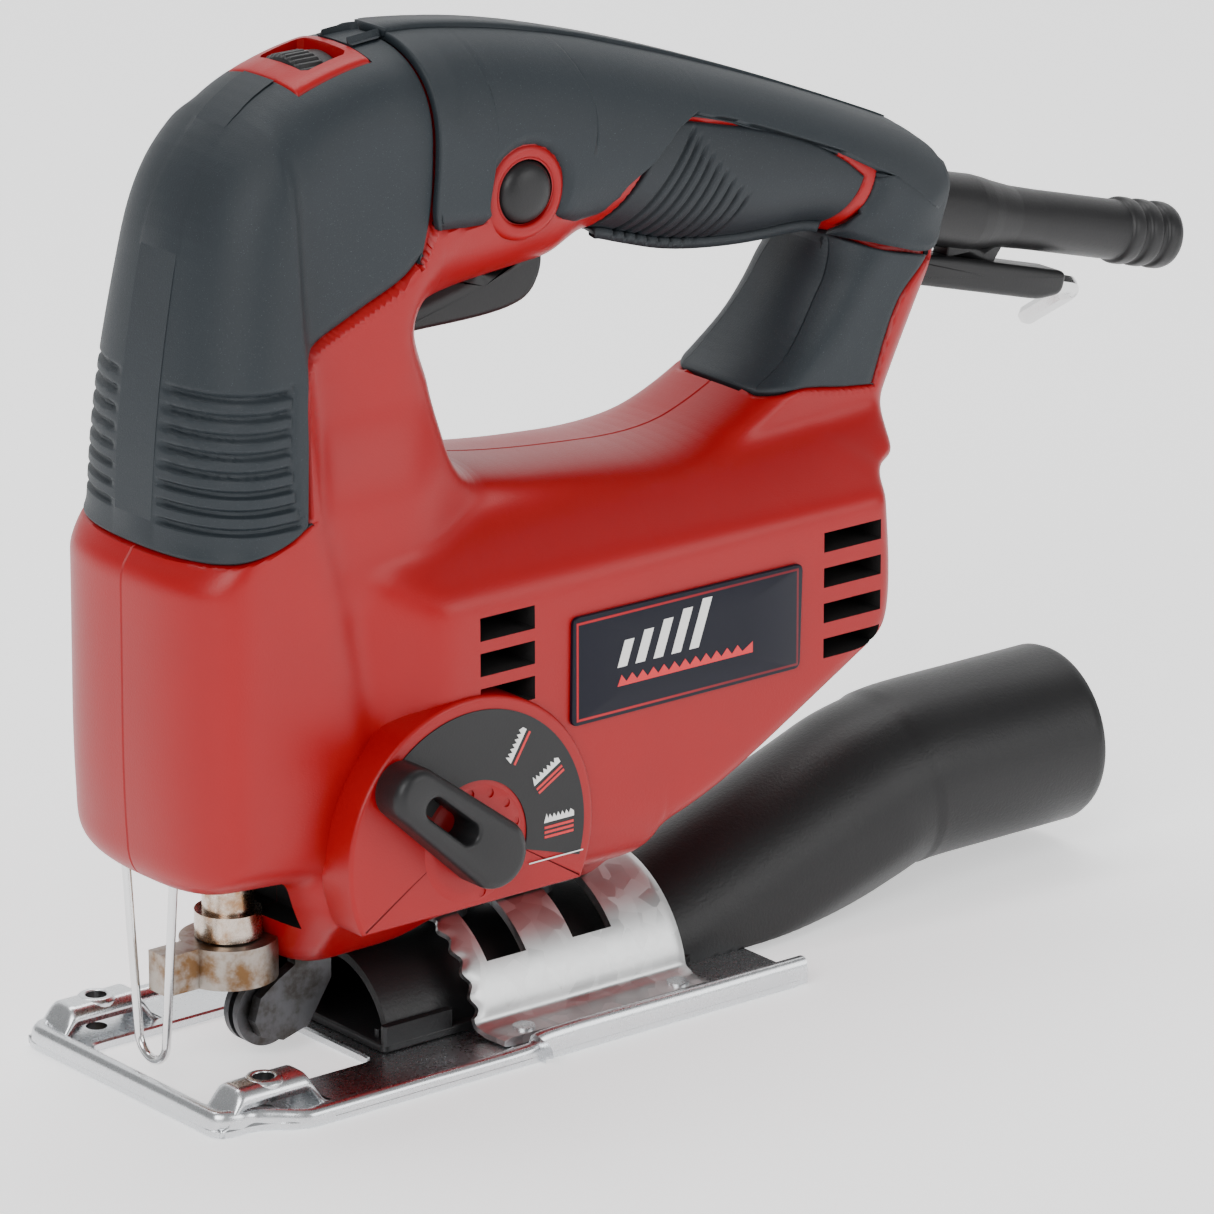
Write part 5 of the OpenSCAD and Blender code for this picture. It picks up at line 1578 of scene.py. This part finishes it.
rim_count = 240
mid_window = ((WINDOW[0] + WINDOW[1]) / 2, 0.0)
plate_rows = []
for rim, inset, level in ((window_rim, 0.0, 0.4), (window_rim, 0.0, PLATE_T - 0.4),
                          (window_rim, 0.4, PLATE_T),
                          (plate_rim, 0.5, PLATE_T), (plate_rim, 0.0, PLATE_T - 0.5), (plate_rim, 0.0, 0.5),
                          (plate_rim, 0.5, 0.0), (window_rim, 0.4, 0.0)):
    line = by_angle(rim(inset), mid_window, rim_count)
    plate_rows.append(np.column_stack([line, np.full(rim_count, level)]))
plate = grid_object("base_plate", np.stack(plate_rows), [ZINC, PAINTED_SHADE], "shoe",
                    wrap_rows=True,
                    wrap_cols=True)
BEVEL_XS = (10.0, 31.0)
FENCE_X, FENCE_Y, FENCE_R = -54, 27.25, 2.1
cut(plate, [rod_shape((x, 0, -1), (0, 0, 1), 4.0, 0, 5) for x in BEVEL_XS]
    + [rod_shape((FENCE_X, s * FENCE_Y, -1), (0, 0, 1), FENCE_R, 0, 5) for s in (-1, 1)], DARK_STEEL)
sharp_by_angle(plate, 35)
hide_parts("base_plate")

# rail profile: distance inward from the edge, and height as a share of the rail's height
RAIL = rounded([(0.0, 0.05, 0.4), (0.0, 0.75, 0.35), (0.9, 1.0, 0.35), (2.6, 0.98, 0.4), (3.6, 0.72, 0.5),
                (3.9, 0.40, 0.5),
                (3.0, 0.40, 0.3), (2.2, 0.62, 0.4), (1.6, 0.62, 0.4), (1.5, 0.05, 0.3)], 4)
rail_path = []
for x, y, tall in [(px1 - 0.4, -py1, 5.7), (45, -py1, 5.7), (7, -py1, 5.7), (2.5, -py1, 3.7),
                   (-25, -py1, 3.6),
                   (STEP_X + 7, -py1, 3.6), (STEP_X + 1.5, -py1 + 0.2, 3.7),
                   (STEP_X - 3.5, -NOSE_Y - 2.2, 4.0),
                   (STEP_X - 7.5, -NOSE_Y + 0.1, 4.3), (px0 + 5, -NOSE_Y, 4.9),
                   (px0 + 1.4, -NOSE_Y + 1.3, 5.0),
                   (px0, -NOSE_Y + 5, 5.0), (px0, -12, 5.0)]:
    rail_path.append((x, y, tall))
rail_path = rail_path + [(x, -y, tall) for x, y, tall in rail_path[::-1]]
rail_curve = along(spline(rail_path, 10), np.linspace(0, 1, 420))
rail_curve[:, 0] = np.maximum(rail_curve[:, 0], px0)
rail_curve[:, 1] = np.clip(rail_curve[:, 1], -py1, py1)
direction = unit(np.gradient(rail_curve[:, :2], axis=0))
inward = np.stack([direction[:, 1], -direction[:, 0]], 1)
if (inward * -rail_curve[:, :2]).sum() < 0:
    inward = -inward
flat = rail_curve[:, None, :2] + RAIL[None, :, :1] * inward[:, None]
rail_grid = np.concatenate([flat, (rail_curve[:, 2:3] * RAIL[None, :, 1])[..., None]], -1)
ends = [np.repeat(rail_grid[k].mean(0)[None], len(RAIL), 0)[None] for k in (0, -1)]
rail = grid_object("plate_rail", np.concatenate([ends[0], rail_grid, ends[1]]), ZINC, "shoe",
                   wrap_cols=True)
sharp_by_angle(rail, 50)

# bridges: a strip pressed up, with rounded flanks and a hole
for tag, side in (("near", -1), ("far", 1)):
    s = np.linspace(0, 1, 60)
    bx = -67.0 + 25.5 * s
    rise = smoothstep(-66.5, -61.0, bx) * smoothstep(-42.0, -47.0, bx)
    y = np.linspace(0, 1, 24)
    fall = 1 - 0.30 * np.abs(2 * y - 1) ** 4
    top = 2.0 + 6.5 * rise[:, None] * fall[None, :]
    xx, yy = np.broadcast_arrays(bx[:, None], side * (23.0 + 8.5 * y)[None, :])
    upper = np.stack([xx, yy, top], -1)
    lower = np.stack([xx, yy, np.maximum(top - 1.6, 0.3)], -1)
    bridge = plate_from("plate_bridge_" + tag, upper, lower, [ZINC, PAINTED_SHADE], "shoe")
    cut(bridge, [rod_shape((FENCE_X, side * FENCE_Y, 0), (0, 0, 1), FENCE_R, 0, 12)], DARK_STEEL)
    collar = soften([(2.15, -1.0), (2.15, 0.5), (2.5, 0.75), (3.3, 0.6), (3.9, 0.0), (3.9, -1.0),
                     (2.15, -1.0)], 0.2)
    lathe("bridge_collar_" + tag, collar, (FENCE_X, side * FENCE_Y, 8.0), (0, 0, 1), ZINC, "shoe",
          48)
print("plate with rails and bridges")

# %% [markdown]
# ## Bevel bracket
# A half cylinder of galvanised sheet: theta runs over the arch, x along it. The front edge carries the
# serrations of the bevel scale and two windows are cut on each side of the crown. Its feet roll outward
# onto the plate.

# %% Bracket
BR_LOW, BR_HIGH = node_box("bevel_bracket")
BR_R, BR_T = BR_HIGH[2], 1.8
foot_angle = math.acos(5.2 / BR_R)
arch = [(BR_R * math.sin(t), BR_R * math.cos(t)) for t in np.linspace(0, foot_angle, 40)]
roll = [(BR_R + 0.5, 4.6), (BR_R + 1.5, 4.1), (BR_R + 3.0, 3.95), (BR_HIGH[1] - 0.3, 3.9)]
half_line = along(spline(arch[::3] + roll, 10), np.linspace(0, 1, 110))
arch_line = np.vstack([half_line[::-1] * [-1, 1], half_line[1:]])
arch_n = unit(np.gradient(arch_line, axis=0))
arch_n = np.stack([-arch_n[:, 1], arch_n[:, 0]], 1)
arch_n *= np.sign(arch_n[len(arch_n) // 2, 1])
theta = np.arctan2(arch_line[:, 0], arch_line[:, 1])
along_x = np.linspace(0, 1, 60)
tooth = 1.25 * (0.5 + 0.5 * np.cos(np.degrees(theta) / 12 * 2 * np.pi)) * (np.abs(theta) < math.radians(75))
front_edge = BR_LOW[0] + tooth + 1.6 * smoothstep(math.radians(78), math.radians(86), np.abs(theta))
xs = front_edge[None, :] + (BR_HIGH[0] - front_edge)[None, :] * along_x[:, None]
roll_edge = 0.35 * (np.clip(1 - along_x * 40, 0, 1) + np.clip(1 - (1 - along_x) * 40, 0, 1))[:, None]
yz_top = arch_line[None] - roll_edge[..., None] * arch_n[None]
yz_low = arch_line[None] - (BR_T - roll_edge)[..., None] * arch_n[None]
upper = np.stack([xs, yz_top[..., 0], yz_top[..., 1]], -1)
lower = np.stack([xs, yz_low[..., 0], yz_low[..., 1]], -1)
bracket = plate_from("bevel_bracket", upper, lower, [SPANGLE, DARK_STEEL], "shoe")
windows = []
WINDOW_HALF, WINDOW_ANGLE, WINDOW_REACH = 4.8, math.radians(52), 40
for x in BEVEL_XS:
    steps = np.linspace(-WINDOW_ANGLE, WINDOW_ANGLE, 25)
    fan = [(0.0, 0.0)] + [(WINDOW_REACH * math.sin(t), WINDOW_REACH * math.cos(t)) for t in steps]
    verts = [(x - WINDOW_HALF, y, z) for y, z in fan] + [(x + WINDOW_HALF, y, z) for y, z in fan]
    windows.append((verts, prism_faces(len(fan))))
cut(bracket, windows, SPANGLE)
sharp_by_angle(bracket, 32)
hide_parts("bevel_bracket")
print("bracket radius", round(float(BR_R), 2))

# %% [markdown]
# ## Parts carried over from the model
# The motor, gears, bearings, screws and switch sit inside the casing and keep their exact CAD shape. Only
# a finish is laid on them; their meshes aren't touched.

# %% Finishes for the CAD nodes
CARRIED = {
    "bracket_rivets": ZINC, "housing_screws": DARK_STEEL, "bevel_screws": DARK_STEEL, "gear_case": CAST,
    "bush_upper": BRONZE, "bush_lower": BRONZE, "front_bearing": GROUND, "rear_bearing": GROUND,
    "stator_stack": LAMINATED, "stator_windings": COPPER, "brush_holders": BRONZE,
    "carbon_brushes": DARK_STEEL, "brush_springs": GROUND, "air_baffle": BLACK, "switch_module": BLACK,
    "speed_board": BOARD, "cord_clamp": BLACK, "clamp_saddle": ZINC, "gear_axle": GROUND,
    "armature_shaft": GROUND, "armature_core": LAMINATED, "commutator": COPPER, "cooling_fan": BLACK,
    "gear_wheel": OILED, "crank_pin": GROUND, "plunger_rod": ROD_STEEL, "yoke": OILED,
    "clamp_collar": ROD_STEEL, "blade_insert": DARK_STEEL, "clamp_ring": OILED, "fork_pin": DARK_STEEL,
    "roller_fork": DARK_STEEL, "roller_pin": DARK_STEEL, "guide_roller": DARK_STEEL,
    "trigger_spring": GROUND, "selector_shaft": OILED,
}
for node_name, material in CARRIED.items():
    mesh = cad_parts[node_name].data
    mesh.materials.clear()
    mesh.materials.append(material)
print("carried over:", len(CARRIED))

# %% [markdown]
# ## Floor and light
# A pale sweep of floor rises behind the tool. One broad soft light stands at the left, a weaker one at the
# right, and a long strip overhead draws the highlights along the handle and the tube.

# %% Floor and light


def floor_material():
    """Nearly white paper that glows a little, so that it stays pale in the tool's shade."""
    m = Material("floor")
    cloud = m.noise(3.0, 3.0)
    grain = m.noise(400, 2.0)
    colour = m.mix(cloud, (0.90, 0.90, 0.905), (0.93, 0.93, 0.93))
    return m.finish(color=colour, rough=0.5 + 0.08 * grain, specular=0.2, glow=colour, glow_power=0.75)


sweep_run = np.concatenate([np.linspace(-3.0, 2.2, 12), 2.2 + 1.6 * np.sin(np.linspace(0.05, np.pi / 2, 24)),
                            [3.8]])
sweep_rise = np.concatenate([np.zeros(12), 1.6 * (1 - np.cos(np.linspace(0.05, np.pi / 2, 24))), [6.0]])
across = np.linspace(-5, 5, 9)
view_dir = np.array([-math.sin(CAM_AZIMUTH), math.cos(CAM_AZIMUTH), 0])
side_dir = np.array([math.cos(CAM_AZIMUTH), math.sin(CAM_AZIMUTH), 0])
floor_pts = (sweep_run[:, None, None] * view_dir + across[None, :, None] * side_dir
             + sweep_rise[:, None, None] * np.array([0, 0, 1.0])) / MM
floor_pts[..., 2] += CAD_LOW[2] / MM
floor_mesh = bpy.data.meshes.new("floor")
floor_mesh.from_pydata((floor_pts.reshape(-1, 3) * MM).tolist(), [],
                       grid_faces(*floor_pts.shape[:2]).tolist())
floor_mesh.polygons.foreach_set("use_smooth", np.full(len(floor_mesh.polygons), True))
floor_mesh.materials.append(floor_material())
floor = bpy.data.objects.new("floor", floor_mesh)
bpy.context.collection.objects.link(floor)


def area_light(name, place, aim, size, power, colour=(1, 1, 1)):
    """Rectangular light at a place, turned to face a point."""
    data = bpy.data.lights.new(name, "AREA")
    data.shape, data.size, data.size_y = "RECTANGLE", *size
    data.energy, data.color = power, colour
    obj = bpy.data.objects.new(name, data)
    obj.location = place
    obj.rotation_euler = (Vector(aim) - Vector(place)).to_track_quat("-Z", "Y").to_euler()
    bpy.context.collection.objects.link(obj)
    return obj


TOOL = Vector((0.03, 0, 0.09))
area_light("key_light", (-1.5, -1.0, 1.25), TOOL, (1.3, 1.3), 34)
area_light("fill_light", (0.9, -1.7, 0.75), TOOL, (1.4, 1.0), 16)
area_light("strip_light", (0.2, 0.5, 1.6), TOOL, (2.0, 0.5), 20)
world = bpy.data.worlds.new("studio")
world.use_nodes = True
world.node_tree.nodes["Background"].inputs[0].default_value = (1, 1, 1, 1)
world.node_tree.nodes["Background"].inputs[1].default_value = 0.36
bpy.context.scene.world = world
